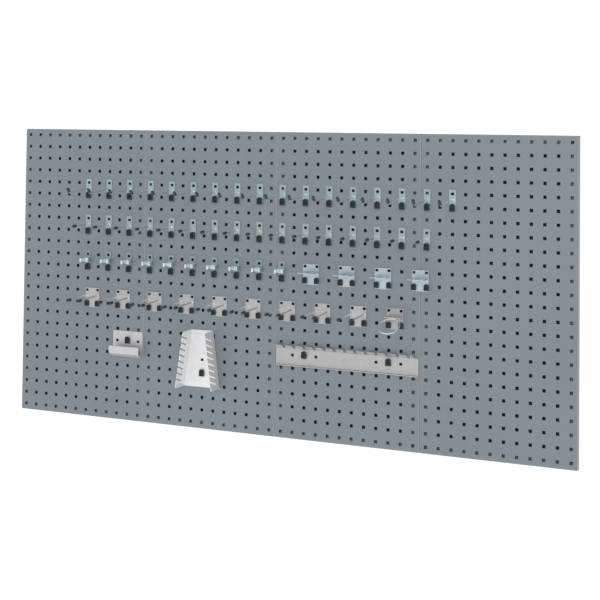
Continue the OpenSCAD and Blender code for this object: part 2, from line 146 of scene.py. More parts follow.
class PlateSizes(bpy.types.PropertyGroup):
    """Sizes shared by the accessories' plates and tabs."""

    thick: length("Plate", "Thickness of the plates", 2.0 * MM)
    seat: length("Seat", "Gap between a plate and the board", 0.15 * MM)
    narrow: length("Narrow plate", "Width of a one-column plate", 20.3 * MM)
    margin: length("Wide plate margin", "How much wider a two-column plate is than the hole spacing", 12.4 * MM)
    rise: length("Rise", "Height of a one-column plate above its tab", 13 * MM)
    drop: length("Drop", "Depth of a one-column plate below its lock", 9 * MM)
    wide_rise: length("Wide rise", "Height of a two-column plate above its tabs", 8 * MM)
    wide_drop: length("Wide drop", "Depth of a two-column plate below its locks", 14.5 * MM)
    corner: length("Corner", "Corner radius of the plates", 1.6 * MM)
    edge: length("Edge", "Rounding of the stamped edges", 0.28 * MM)
    tab: length("Tab width", "Width of the bent tabs", 8.725 * MM)
    opening: length("Lock opening", "Side of the square openings for the locks", 8.6 * MM)
    fold: length("Fold radius", "Middle radius of the folds", 2.6 * MM)


class LockSizes(bpy.types.PropertyGroup):
    """Sizes of the moulded lock inserts."""

    width: length("Width", "Width of a lock's head", 16.5 * MM)
    height: length("Height", "Height of a lock's head", 21.5 * MM)
    depth: length("Depth", "Depth of a lock's head", 5.5 * MM)
    small: FloatProperty(name="Small lock", description="Size of a two-column plate's locks against the others",
                         default=0.88)
    small_sink: length("Small sink", "How far a two-column plate's lock sits below its opening", 2.5 * MM)
    low_rise: length("Low rise", "How far a lock on the ledge or the rail sits above its opening", 4.5 * MM)
    nose: length("Nose", "Width of a lock's nose", 8.0 * MM)
    wall: length("Rim", "Width of the rim round the finger recess", 2.6 * MM)


class HookSizes(bpy.types.PropertyGroup):
    """Sizes of the hook rods and their caps."""

    rod: length("Rod", "Diameter of the rods", 5.0 * MM)
    root: length("Root", "Height of a rod's root below its tab", 15 * MM)
    long_reach: length("Long reach", "Reach of a long hook to its bend", 110 * MM)
    long_drop: length("Long drop", "Drop of a long hook to its bend", 13 * MM)
    upturn: length("Upturn", "Length of a long hook's upturned end", 19 * MM)
    upturn_angle: angle("Upturn angle", "Slope of the upturned end", 48)
    short_reach: length("Short reach", "Reach of a short hook", 88 * MM)
    short_drop: length("Short drop", "Drop of a short hook", 5 * MM)
    double_reach: length("Double reach", "Reach of a double hook", 110 * MM)
    double_drop: length("Double drop", "Drop of a double hook", 6 * MM)
    cap: length("Cap", "Diameter of the soft caps", 9.6 * MM)
    cap_length: length("Cap length", "Length of the soft caps", 17 * MM)
    cover: length("Cap cover", "Length of rod inside a cap", 14 * MM)


class HolderSizes(bpy.types.PropertyGroup):
    """Sizes of the spring clips, plier holders and ring holder."""

    clip: length("Jaws", "Inside diameter of a clip's jaws", 24 * MM)
    strip: length("Strip", "Thickness of a clip's strip", 1.2 * MM)
    strip_width: length("Strip width", "Width of a clip's strip", 12 * MM)
    rivet: length("Rivet", "Shank diameter of a clip's rivet", 4 * MM)
    shelf: length("Shelf", "Depth of a plier holder's shelf", 47 * MM)
    slot: length("Shelf slot", "Width of the slots in the shelf", 8 * MM)
    ring_arm: length("Ring shelf", "Depth of the shelf that carries the ring", 26 * MM)
    ring: length("Ring", "Middle diameter of the wire ring", 61 * MM)
    wire: length("Wire", "Diameter of the ring's wire", 3.4 * MM)
    ring_tilt: angle("Ring tilt", "Tilt of the ring below level", 37)


class RackSizes(bpy.types.PropertyGroup):
    """Sizes of the ledge, the wrench rack and the tool rail."""

    ledge_width: length("Ledge width", "Width of the ledge", 107 * MM)
    ledge_rise: length("Ledge rise", "Height of the ledge's plate above its tabs", 32 * MM)
    ledge_drop: length("Ledge drop", "Depth of the ledge's plate below its tabs", 51 * MM)
    ledge_depth: length("Trough", "Depth of the ledge's trough", 24 * MM)
    ledge_slope: length("Trough rise", "Rise of the trough's floor", 14 * MM)
    ledge_lip: length("Ledge lip", "Height of the ledge's lip", 23 * MM)
    rack_top: length("Rack top", "Width of the wrench rack at its top", 76 * MM)
    rack_bottom: length("Rack bottom", "Width of the wrench rack at its bottom", 124 * MM)
    rack_rise: length("Rack rise", "Height of the rack above its tab", 92 * MM)
    rack_drop: length("Rack drop", "Depth of the rack below its tab", 82 * MM)
    wing: length("Wings", "Depth of the rack's wings", 60 * MM)
    slots: IntProperty(name="Slots", description="Number of slots in each wing", default=8, min=1)
    slot: length("Slot", "Width of the slots in the wings", 4 * MM)
    slot_reach: length("Slot reach", "Reach of the slots from the wing's front edge", 36 * MM)
    slot_slope: angle("Slot slope", "Slope of the slots towards the wall", 19)
    rail_margin: length("Rail margin", "Gap between the rail's end and the panel's edge", 3.5 * MM)
    rail_rise: length("Rail rise", "Height of the rail's plate above its tabs", 20 * MM)
    rail_drop: length("Rail drop", "Depth of the rail's plate below its tabs", 28 * MM)
    tooth_reach: length("Tooth reach", "Forward reach of the teeth", 12 * MM)
    tooth_rise: length("Tooth rise", "Rise of the teeth", 10 * MM)
    teeth: IntProperty(name="Teeth", description="Number of teeth on the rail", default=14, min=2)
    tooth_gap: length("Tooth gap", "Gap between neighbouring teeth", 9 * MM)
    hem: length("Hem", "Reach of the rail's bottom flange", 7 * MM)


class Finishes(bpy.types.PropertyGroup):
    """Colours of the finishes."""

    enamel: colour("Enamel", "Baked grey enamel on the panels", (0.192, 0.222, 0.249))
    cool_zinc: colour("Cool zinc", "Blue-grey zinc plate of the long hooks", (0.355, 0.445, 0.48))
    dull_zinc: colour("Dull zinc", "Grey zinc plate of the short hooks", (0.37, 0.42, 0.43))
    dark_zinc: colour("Dark zinc", "Dark zinc plate of the spring clips", (0.275, 0.34, 0.37))
    shelf_zinc: colour("Shelf zinc", "Zinc plate of the plier holders", (0.49, 0.56, 0.61))
    pale_zinc: colour("Pale zinc", "Matt pale zinc plate of the double hooks and the rail", (0.46, 0.457, 0.46))
    ring_zinc: colour("Ring zinc", "Grey zinc plate of the ring holder", (0.425, 0.425, 0.433))
    ledge_zinc: colour("Ledge zinc", "Pale zinc plate of the ledge", (0.55, 0.55, 0.565))
    bright_zinc: colour("Bright zinc", "Almost white zinc plate", (0.80, 0.805, 0.81))
    rod_zinc: colour("Rod zinc", "Bright drawn rods with a straw tint", (0.86, 0.88, 0.85))
    spring_steel: colour("Spring steel", "Polished strip of the spring clips", (0.72, 0.80, 0.82))
    lock: colour("Lock plastic", "Moulded black plastic", (0.004, 0.013, 0.016))
    cap: colour("Cap vinyl", "Dipped dark vinyl", (0.014, 0.030, 0.032))


class StageSettings(bpy.types.PropertyGroup):
    """Camera, light and floor."""

    place: FloatVectorProperty(name="Camera", description="Where the camera stands", subtype="TRANSLATION",
                               unit="LENGTH", default=(1.7437, -3.7536, 0.4756))
    azimuth: angle("Azimuth", "Turn of the camera round the vertical", 24.074)
    elevation: angle("Elevation", "Height of the camera's aim", 1.912)
    roll: angle("Roll", "Turn of the camera round its aim", 0.615)
    lens: FloatProperty(name="Lens", description="Focal length", default=81.85, unit="CAMERA")
    shift: FloatVectorProperty(name="Shift", description="Lens shift", size=2, default=(-0.0009, -0.3658))
    floor_gap: length("Floor", "Height of the wall's lower edge above the floor", 0.9)


# ---------------------------------------------------------------- outlines and sheet metal


def rounded(corners, steps=5):
    """A closed outline from (x, y, radius) corners, each rounded with an arc."""
    points = []
    count = len(corners)
    for i, (x, y, radius) in enumerate(corners):
        here = Vector((x, y))
        back = (Vector(corners[i - 1][:2]) - here).normalized()
        ahead = (Vector(corners[(i + 1) % count][:2]) - here).normalized()
        half = back.angle(ahead) / 2
        if radius <= 0 or half > math.radians(89.5):
            points.append(here)
            continue
        centre = here + (back + ahead).normalized() * radius / math.sin(half)
        first = here + back * radius / math.tan(half) - centre
        last = here + ahead * radius / math.tan(half) - centre
        turn = first.angle_signed(last)
        for k in range(steps + 1):
            swung = first.copy()
            swung.rotate(Matrix.Rotation(-turn * k / steps, 2))
            points.append(centre + swung)
    return points


def box_outline(low_x, low_z, high_x, high_z, radius, steps=5):
    corners = [(low_x, low_z), (high_x, low_z), (high_x, high_z), (low_x, high_z)]
    return rounded([(x, z, radius) for x, z in corners], steps)


def round_outline(x, z, radius, steps=20):
    turns = [math.tau * k / steps for k in range(steps)]
    return [Vector((x + radius * math.cos(a), z + radius * math.sin(a))) for a in turns]


def inset(points, amount):
    """The outline moved to its left by an amount, with mitred corners."""
    count = len(points)
    moved = []
    for i, here in enumerate(points):
        into = (here - points[i - 1]).normalized()
        out = (points[(i + 1) % count] - here).normalized()
        side_in = Vector((-into.y, into.x))
        side_out = Vector((-out.y, out.x))
        middle = side_in + side_out
        scale = amount / max(0.3, middle.dot(side_in))
        moved.append(here + middle * scale)
    return moved


def bridge(bm, first, second):
    """Faces between two closed loops of the same length."""
    count = len(first)
    for i in range(count):
        j = (i + 1) % count
        bm.faces.new((first[i], first[j], second[j], second[i]))


def edge_layer(bm):
    return bm.verts.layers.float.get("edge") or bm.verts.layers.float.new("edge")


def slab(outer, holes, thick, edge, worn=0.5 * MM):
    """Stamped sheet with rounded edges: rear face at w = 0, front face at w = thick.

    The outer outline runs anticlockwise, and the holes clockwise."""
    bm = bmesh.new()
    mark = edge_layer(bm)
    levels = [(edge + worn, 0.0, 0.0), (edge, 0.0, 1.0), (edge * 0.3, edge * 0.3, 1.0), (0.0, edge, 1.0),
              (0.0, thick - edge, 1.0), (edge * 0.3, thick - edge * 0.3, 1.0), (edge, thick, 1.0),
              (edge + worn, thick, 0.0)]
    outlines = [outer] + holes
    rear, front = [], []
    for outline in outlines:
        loops = []
        for amount, height, wear in levels:
            loop = [bm.verts.new((p.x, p.y, height)) for p in inset(outline, amount)]
            for vert in loop:
                vert[mark] = wear
            loops.append(loop)
        for low, high in zip(loops, loops[1:]):
            bridge(bm, low, high)
        rear.append(loops[0])
        front.append(loops[-1])
    for rings in (rear, front):
        verts = [vert for ring in rings for vert in ring]
        for tri in tessellate_polygon([[vert.co for vert in ring] for ring in rings]):
            if len(set(tri)) == 3:
                bm.faces.new([verts[k] for k in tri])
    bmesh.ops.recalc_face_normals(bm, faces=bm.faces)
    return bm


def fold(bm, at, out, turn, radius, thick, steps=7):
    """Bends the part of a sheet that lies beyond a line, about that line, towards its front face."""
    out = Vector((out[0], out[1], 0)).normalized()
    at = Vector((at[0], at[1], thick / 2))
    sign = 1 if turn > 0 else -1
    turn = abs(turn)
    arc = turn * radius
    for k in range(steps + 1):
        parts = bm.verts[:] + bm.edges[:] + bm.faces[:]
        bmesh.ops.bisect_plane(bm, geom=parts, plane_co=at + out * arc * k / steps, plane_no=out, dist=1e-7)
    for vert in bm.verts:
        offset = vert.co - at
        s = offset.dot(out)
        if s <= 1e-7:
            continue
        h = offset.z * sign
        a = min(s, arc) / radius
        rest = max(0.0, s - arc)
        along = (radius - h) * math.sin(a) + rest * math.cos(a)
        height = radius - (radius - h) * math.cos(a) + rest * math.sin(a)
        vert.co += out * (along - s) + Vector((0, 0, sign * height - offset.z))


def setback(turn, radius):
    """Distance from a fold's sharp corner to where its bend starts."""
    return radius * math.tan(abs(turn) / 2)


def stand_up(bm, seat):
    """Stands a flat sheet against the board: sheet x, y become X, Z, and its front faces outwards."""
    for vert in bm.verts:
        x, z, w = vert.co
        vert.co = (x, -seat - w, z)
    bmesh.ops.recalc_face_normals(bm, faces=bm.faces)
    return bm


def ribbon(path, thick, width, edge):
    """A strip that follows a path of (y, z) points, with the path along its middle and its width along X."""
    bm = bmesh.new()
    mark = edge_layer(bm)
    a, b = thick / 2, width / 2
    section = [(-a, -b + edge), (-a, b - edge), (-a + edge, b), (a - edge, b),
               (a, b - edge), (a, -b + edge), (a - edge, -b), (-a + edge, -b)]
    rings = []
    for i, here in enumerate(path):
        into = (here - path[i - 1]).normalized() if i else (path[1] - here).normalized()
        out = (path[i + 1] - here).normalized() if i < len(path) - 1 else into
        side = Vector((-into.y, into.x)) + Vector((-out.y, out.x))
        side *= 1 / max(0.5, side.dot(Vector((-into.y, into.x))))
        ring = []
        for across, wide in section:
            spot = here + side * across
            vert = bm.verts.new((wide, spot.x, spot.y))
            vert[mark] = 0.6 if abs(wide) > b - 2 * edge else 0.0
            ring.append(vert)
        rings.append(ring)
    for low, high in zip(rings, rings[1:]):
        bridge(bm, low, high)
    bm.faces.new(rings[0])
    bm.faces.new(rings[-1])
    bmesh.ops.recalc_face_normals(bm, faces=bm.faces)
    return bm


def sweep(points, radius, sides=18, closed=False, wobble=0.0, seed=1):
    """A round bar through points that lie in one plane."""
    bm = bmesh.new()
    edge_layer(bm)
    dice = random.Random(seed)
    normal = (points[1] - points[0]).cross(points[-2] - points[0])
    normal = normal.normalized() if normal.length > 1e-9 else (points[1] - points[0]).orthogonal().normalized()
    rings = []
    count = len(points)
    for i, here in enumerate(points):
        back = points[i - 1] if i or closed else here
        ahead = points[(i + 1) % count] if i < count - 1 or closed else here
        along = (ahead - back).normalized()
        side = along.cross(normal).normalized()
        up = side.cross(along)
        size = radius * (1 + wobble * dice.uniform(-1, 1))
        ring = []
        for k in range(sides):
            a = math.tau * k / sides
            ring.append(bm.verts.new(here + (side * math.cos(a) + up * math.sin(a)) * size))
        rings.append(ring)
    for low, high in zip(rings, rings[1:]):
        bridge(bm, low, high)
    if closed:
        bridge(bm, rings[-1], rings[0])
    else:
        bm.faces.new(rings[0])
        bm.faces.new(rings[-1])
    bmesh.ops.recalc_face_normals(bm, faces=bm.faces)
    return bm


def lathe(profile, steps=24):
    """A solid of revolution about +X from (along, radius) points; it starts and ends on the axis."""
    bm = bmesh.new()
    edge_layer(bm)
    rings = []
    for along, radius in profile:
        if radius < 1e-7:
            rings.append([bm.verts.new((along, 0, 0))])
            continue
        turns = [math.tau * k / steps for k in range(steps)]
        rings.append([bm.verts.new((along, radius * math.cos(a), radius * math.sin(a))) for a in turns])
    for low, high in zip(rings, rings[1:]):
        if len(low) == 1 and len(high) == 1:
            continue
        if len(low) == 1 or len(high) == 1:
            tip = low[0] if len(low) == 1 else high[0]
            ring = high if len(low) == 1 else low
            for k in range(steps):
                bm.faces.new((tip, ring[k], ring[(k + 1) % steps]))
        else:
            bridge(bm, low, high)
    bmesh.ops.recalc_face_normals(bm, faces=bm.faces)
    return bm


def joined(*parts):
    """One mesh from (bmesh, move) pairs or plain bmeshes. The parts are used up."""
    bm = bmesh.new()
    edge_layer(bm)
    for part in parts:
        part, move = part if isinstance(part, tuple) else (part, Matrix())
        part.transform(move)
        mesh = bpy.data.meshes.new("part")
        part.to_mesh(mesh)
        part.free()
        bm.from_mesh(mesh)
        bpy.data.meshes.remove(mesh)
    return bm


def set_out(name, pattern, places, material, body, node, seed=0, crease=20):
    """Puts copies of a pattern at places, as one finished piece that stands for a CAD node."""
    dice = random.Random(name + str(seed))
    mesh = bpy.data.meshes.new("pattern")
    pattern.to_mesh(mesh)
    bm = bmesh.new()
    edge_layer(bm)
    tone = bm.verts.layers.float.new("tone")
    for place in places:
        copy = mesh.copy()
        copy.transform(place)
        start = len(bm.verts)
        bm.from_mesh(copy)
        bpy.data.meshes.remove(copy)
        bm.verts.ensure_lookup_table()
        value = dice.random()
        for vert in bm.verts[start:]:
            vert[tone] = value
    bpy.data.meshes.remove(mesh)
    final = bpy.data.meshes.new(name)
    bm.to_mesh(final)
    bm.free()
    final.shade_smooth()
    final.set_sharp_from_angle(angle=math.radians(crease))
    piece = bpy.data.objects.new(name, final)
    bpy.context.scene.collection.objects.link(piece)
    final.materials.append(material)
    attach(piece, body)
    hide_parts(node)
    return piece


# ---------------------------------------------------------------- shader expressions


class Value:
    """A socket that can be used in sums, each of which adds a Math node."""

    def __init__(self, paint, socket):
        self.paint = paint
        self.socket = socket

    def _math(self, operation, first, second):
        return self.paint.add("ShaderNodeMath", {"operation": operation}, {0: first, 1: second})

    def __add__(self, other):
        return self._math("ADD", self, other)

    __radd__ = __add__

    def __sub__(self, other):
        return self._math("SUBTRACT", self, other)

    def __rsub__(self, other):
        return self._math("SUBTRACT", other, self)

    def __mul__(self, other):
        return self._math("MULTIPLY", self, other)

    __rmul__ = __mul__


class Paint:
    """The nodes of a material or a world being put together."""

    def __init__(self, owner, output="ShaderNodeOutputMaterial"):
        owner.use_nodes = True
        self.material = owner
        self.tree = owner.node_tree
        self.tree.nodes.clear()
        self.output = self.tree.nodes.new(output)

    def add(self, kind, settings=None, inputs=None, output=0):
        """Any node: its type, its settings, which are set first, and its sockets' values or links."""
        node = self.tree.nodes.new(kind)
        for key, value in (settings or {}).items():
            setattr(node, key, value)
        for key, value in (inputs or {}).items():
            if isinstance(value, Value):
                self.tree.links.new(value.socket, node.inputs[key])
            else:
                node.inputs[key].default_value = value
        return Value(self, node.outputs[output])

    def mix(self, factor, first, second):
        """A blend of two colours, either of which may be a plain (r, g, b)."""
        pair = [c if isinstance(c, Value) else (*c, 1) for c in (first, second)]
        return self.add("ShaderNodeMix", {"data_type": "RGBA"}, {0: factor, 6: pair[0], 7: pair[1]}, 2)

    def scaled(self, where, scale):
        return self.add("ShaderNodeVectorMath", {"operation": "MULTIPLY"}, {0: where, 1: scale})

    def place(self):
        return self.add("ShaderNodeTexCoord", output="Object")

    def noise(self, where, scale, detail=3.0, rough=0.55):
        return self.add("ShaderNodeTexNoise", None,
                        {"Vector": where, "Scale": scale, "Detail": detail, "Roughness": rough})

    def attribute(self, name):
        return self.add("ShaderNodeAttribute", {"attribute_name": name}, output="Fac")

    def span(self, value, low, high, to_low=0.0, to_high=1.0):
        """The value spread from one range onto another, and held inside it."""
        inputs = {"Value": value, "From Min": low, "From Max": high, "To Min": to_low, "To Max": to_high}
        return self.add("ShaderNodeMapRange", {"clamp": True}, inputs)

    def bump(self, height, distance, strength=1.0):
        return self.add("ShaderNodeBump", None, {"Height": height, "Distance": distance, "Strength": strength})

    def finish(self, **sockets):
        """Closes the material with one Principled shader."""
        names = {name.replace("_", " "): value for name, value in sockets.items()}
        names = {k: (*v, 1) if isinstance(v, tuple) and len(v) == 3 else v for k, v in names.items()}
        shader = self.add("ShaderNodeBsdfPrincipled", None, names)
        self.tree.links.new(shader.socket, self.output.inputs["Surface"])
        return self.material


def shade(tint, amount):
    return tuple(min(1.0, channel * amount) for channel in tint)


def baked_enamel(tint):
    """Baked powder enamel: even colour, fine orange peel, a thin film over the holes' edges, and a painted highlight
    on the folded bends and the lips' front faces.
    """
    paint = Paint(bpy.data.materials.new("baked_enamel"))
    where = paint.place()
    cloud = paint.noise(where, 2.2, 2.0)
    fleck = paint.noise(where, 1400.0, 2.0)
    edge = paint.attribute("edge")
    body = paint.mix(paint.span(cloud, 0.35, 0.65), shade(tint, 0.97), shade(tint, 1.03))
    flecked = paint.mix(paint.span(fleck, 0.3, 0.75, 0.0, 0.16), body, shade(tint, 1.35))
    thin = paint.mix(paint.span(edge, 0.0, 1.0, 0.0, 0.3), flecked, shade(tint, 1.3))
    # Painted highlight: edge values from 1 to 2 (the panels' folded bends and the lips' front faces) blend to a flat
    # light grey, standing in for light caught by the bends at the seams and light seen on the lips through the holes.
    rim = paint.mix(paint.span(edge, 1.0, 2.0), thin, (0.34, 0.35, 0.36))
    peel = paint.noise(where, 520.0, 2.0, 0.4)
    grain = paint.noise(where, 2600.0, 1.0)
    rough = paint.span(peel, 0.3, 0.7, 0.40, 0.52)
    relief = paint.bump(peel * 0.8 + grain * 0.2, 0.00016, 0.5)
    return paint.finish(Base_Color=rim, Roughness=rough, Normal=relief)


def zinc_plate(name, tint, metal, rough, grain=(900.0, 900.0, 60.0)):
    """Zinc plating: rolling streaks, fine crystals and a passivated tint that drifts from piece to piece."""
    paint = Paint(bpy.data.materials.new(name))
    where = paint.place()
    tone = paint.attribute("tone")
    edge = paint.attribute("edge")
    streaks = paint.noise(paint.scaled(where, grain), 1.0, 3.0)
    settings = {"feature": "F1", "voronoi_dimensions": "3D"}
    crystal = paint.add("ShaderNodeTexVoronoi", settings, {"Vector": where, "Scale": 700.0}, "Color")
    grey = paint.add("ShaderNodeSeparateColor", None, {"Color": crystal}, 0)
    drift = paint.noise(where, 45.0, 2.0)
    blend = paint.span(drift * 0.7 + tone * 0.5, 0.35, 0.85)
    body = paint.mix(blend, shade(tint, 0.96), shade(tint, 1.08))
    streaked = paint.mix(paint.span(streaks, 0.35, 0.7, 0.0, 0.35), body, shade(tint, 0.78))
    spangled = paint.mix(grey * 0.14, streaked, shade(tint, 1.2))
    worn = paint.mix(edge * 0.45, spangled, shade(tint, 1.25))
    relief = paint.bump(streaks * 0.6 + grey * 0.4, 0.00003, 0.5)
    shine = paint.span(streaks + grey * 0.3, 0.3, 1.0, rough - 0.07, rough + 0.12)
    return paint.finish(Base_Color=worn, Metallic=metal, Roughness=shine, Normal=relief)


def moulded_plastic(tint):
    """Black moulded plastic with a faint sparked grain and rubbed edges."""
    paint = Paint(bpy.data.materials.new("moulded_plastic"))
    where = paint.place()
    grain = paint.noise(where, 2200.0, 2.0)
    cloud = paint.noise(where, 120.0, 2.0)
    edge = paint.attribute("edge")
    body = paint.mix(paint.span(cloud, 0.3, 0.7), tint, shade(tint, 1.8))
    rubbed = paint.mix(edge * 0.25, body, (0.05, 0.06, 0.06))
    relief = paint.bump(grain, 0.00005, 0.45)
    shine = paint.span(grain, 0.3, 0.7, 0.27, 0.42)
    return paint.finish(Base_Color=rubbed, Roughness=shine, Normal=relief)


def dipped_vinyl(tint):
    """Soft dipped vinyl: smooth, a little glossy, with slight sags in its thickness."""
    paint = Paint(bpy.data.materials.new("dipped_vinyl"))
    where = paint.place()
    sag = paint.noise(where, 260.0, 2.0)
    dust = paint.noise(where, 1800.0, 2.0)
    body = paint.mix(paint.span(sag, 0.3, 0.7), tint, shade(tint, 1.7))
    dusty = paint.mix(paint.span(dust, 0.55, 0.8, 0.0, 0.2), body, (0.10, 0.12, 0.12))
    relief = paint.bump(sag, 0.0001, 0.5)
    shine = paint.span(dust, 0.3, 0.7, 0.28, 0.42)
    return paint.finish(Base_Color=dusty, Roughness=shine, Normal=relief)


MADE = {}


def finish_named(name):
    """The named finish, made the first time that it is asked for."""
    tints = bpy.context.scene.wall_finishes
    recipes = {
        "enamel": lambda: baked_enamel(tuple(tints.enamel)),
        "bright_zinc": lambda: zinc_plate("bright_zinc", tuple(tints.bright_zinc), 0.35, 0.42),
        "rod_zinc": lambda: zinc_plate("rod_zinc", tuple(tints.rod_zinc), 0.97, 0.24, (700.0, 25.0, 700.0)),
        "spring_steel": lambda: zinc_plate("spring_steel", tuple(tints.spring_steel), 0.97, 0.22),
        "lock": lambda: moulded_plastic(tuple(tints.lock)),
        "cap": lambda: dipped_vinyl(tuple(tints.cap)),
    }
    matt = {"pale_zinc", "ring_zinc", "ledge_zinc"}
    if name not in MADE:
        plain = (0.55, 0.45) if name in matt else (0.75, 0.36)
        MADE[name] = recipes[name]() if name in recipes else zinc_plate(name, tuple(getattr(tints, name)), *plain)
    return MADE[name]


# ---------------------------------------------------------------- patterns of the pieces


def tab_pattern():
    """Tab bent back from a plate, through the sheet and down behind it."""
    board, plate = bpy.context.scene.wall_board, bpy.context.scene.wall_plates
    half = plate.thick / 2
    low = -board.hole / 2 + TAB_REST + half
    rear = board.sheet + LEG_GAP + half
    bottom = -board.hole / 2 - (board.hole - plate.thick - TAB_REST - TAB_CLEAR - LEG_SLACK)
    corner = Vector((rear, low))
    radius = half * 1.3
    path = [Vector((-plate.seat - half, low))]
    for k in range(7):
        a = math.radians(90 - 15 * k)
        path.append(corner + Vector((-radius + radius * math.cos(a), -radius + radius * math.sin(a))))
    path.append(Vector((rear, bottom)))
    return ribbon(path, plate.thick, plate.tab, plate.edge)


def window_hole(x, z=0.0):
    """Clockwise outline of the opening that a tab was bent out of."""
    board, plate = bpy.context.scene.wall_board, bpy.context.scene.wall_plates
    low = -board.hole / 2 + TAB_REST + plate.thick
    half = plate.tab / 2 + WINDOW_EXTRA / 2
    outline = box_outline(x - half, z + low, x + half, z + board.hole / 2 + WINDOW_EXTRA, 0.8 * MM, 3)
    return outline[::-1]


def lock_opening(x, z):
    half = bpy.context.scene.wall_plates.opening / 2
    return box_outline(x - half, z - half, x + half, z + half, 0.8 * MM, 3)[::-1]


def plate_pattern(columns, rivet=None):
    """Plate over one or two columns, with a tab window and a lock opening in each."""
    plate = bpy.context.scene.wall_plates
    width, drop, rise = plate.narrow, plate.drop, plate.rise
    if columns > 1:
        width, drop, rise = PITCH + plate.margin, plate.wide_drop, plate.wide_rise
    spots = [(k - (columns - 1) / 2) * PITCH for k in range(columns)]
    outline = box_outline(-width / 2, -PITCH - drop, width / 2, rise, plate.corner)
    holes = [window_hole(x) for x in spots] + [lock_opening(x, -PITCH) for x in spots]
    if rivet:
        holes.append(round_outline(0, rivet[0], rivet[1])[::-1])
    sheet = stand_up(slab(outline, holes, plate.thick, plate.edge), plate.seat)
    tabs = [(tab_pattern(), Matrix.Translation((x, 0, 0))) for x in spots]
    return joined(sheet, *tabs)


def arch_outline(width, height, shrink=0.0):
    """Anticlockwise outline of a lock's head: an arched top over slightly rounded lower corners."""
    half = width / 2 - shrink
    low = -height / 2 + shrink
    shoulder = height / 2 - width / 4
    radius = width * 0.625 - shrink
    centre = shoulder - width * 0.375
    reach = math.asin(half / radius)
    points = rounded([(-half, shoulder, 0), (-half, low, 1.6 * MM), (half, low, 1.6 * MM), (half, shoulder, 0)])[1:-1]
    for k in range(13):
        a = reach - 2 * reach * k / 12
        points.append(Vector((radius * math.sin(a), centre + radius * math.cos(a))))
    return points


def lock_pattern(size, sink, through):
    """Moulded lock insert: ribbed finger recess in a rounded head, and a nose for the square hole."""
    lock, plate, board = bpy.context.scene.wall_locks, bpy.context.scene.wall_plates, bpy.context.scene.wall_board
    seat = plate.seat + plate.thick
    width, height = lock.width * size, lock.height * size
    outer = arch_outline(width, height)
    pocket = arch_outline(width, height, lock.wall)[::-1]
    down = Matrix.Translation((0, 0, -sink))
    rim = stand_up(slab(outer, [pocket], lock.depth, 0.8 * MM, 0.3 * MM), seat)
    floor = stand_up(slab(arch_outline(width, height, 0.4 * MM), [], lock.depth * 0.55, 0.2 * MM), seat)
    parts = [(rim, down), (floor, down)]
    half_rib = 0.7 * MM
    tall = height / 2 - lock.wall - 1.2 * MM
    for x in (-0.19 * width, 0.0, 0.19 * width):
        rib = slab(box_outline(x - half_rib, -tall, x + half_rib, tall, 0.6 * MM, 3), [], lock.depth * 0.88,
                   0.3 * MM, 0.1 * MM)
        parts.append((stand_up(rib, seat), down))
    nose_end = board.sheet + BARB_REACH if through else -plate.seat
    nose_half = lock.nose / 2
    start = seat + lock.depth * 0.3
    nose = slab(box_outline(-nose_half, -nose_half, nose_half, nose_half, 0.9 * MM, 3), [], start + nose_end,
                0.4 * MM, 0.2 * MM)
    parts.append(stand_up(nose, -nose_end))
    return joined(*parts)


def lower_lock_pattern():
    return lock_pattern(1.0, -bpy.context.scene.wall_locks.low_rise, False)


def upper_lock_pattern(columns, through):
    lock = bpy.context.scene.wall_locks
    return lock_pattern(1.0, 0.0, through) if columns == 1 else lock_pattern(lock.small, lock.small_sink, through)


def rod_frame(reach, drop):
    """The move that lays +X along a rod, outwards from its root on the plate."""
    hook, plate = bpy.context.scene.wall_hooks, bpy.context.scene.wall_plates
    root = Matrix.Translation((0, -plate.seat - plate.thick, -hook.root))
    return root @ Matrix.Rotation(-math.pi / 2, 4, "Z") @ Matrix.Rotation(math.atan2(drop, reach), 4, "Y")


def weld_pattern(radius, size, seed=3):
    """Small fillet weld round a bar's root, with its ripples."""
    steps = 28
    bead = lathe([(-0.2 * MM, 0), (-0.2 * MM, radius + size), (size * 0.25, radius + size * 0.8),
                  (size * 0.65, radius + size * 0.35), (size, radius + size * 0.02), (size, 0)], steps)
    dice = random.Random(seed)
    phase = dice.uniform(0, math.tau)
    for vert in bead.verts:
        spread = math.hypot(vert.co.y, vert.co.z)
        if spread > radius:
            turn = math.atan2(vert.co.z, vert.co.y)
            vert.co.yz = vert.co.yz * (1 + 0.05 * math.sin(7 * turn + phase) + 0.02 * dice.uniform(-1, 1))
    return bead


def cap_pattern():
    """Dipped cap, closed past the rod's end at the origin, with a rolled mouth."""
    hook = bpy.context.scene.wall_hooks
    radius, bore, cover = hook.cap / 2, hook.rod / 2, hook.cover
    tip = hook.cap_length - cover
    profile = [(0.0, 0.0), (0.0, bore), (-cover, bore), (-cover, radius * 0.86), (-cover + 0.4 * MM, radius * 0.97),
               (-cover + 1.2 * MM, radius), (-cover + 2.0 * MM, radius * 0.985), (-cover * 0.4, radius * 0.975)]
    middle = tip - radius
    for k in range(9):
        a = math.radians(90 * k / 8)
        profile.append((middle + radius * math.sin(a), radius * math.cos(a)))
    return lathe(profile, 28)


def straight_rod(reach, drop):
    hook = bpy.context.scene.wall_hooks
    span = math.hypot(reach, drop)
    stops = [-ROD_SINK] + [span * k / 6 for k in range(1, 7)]
    return joined(sweep([Vector((x, 0, 0)) for x in stops], hook.rod / 2), weld_pattern(hook.rod / 2, WELD))


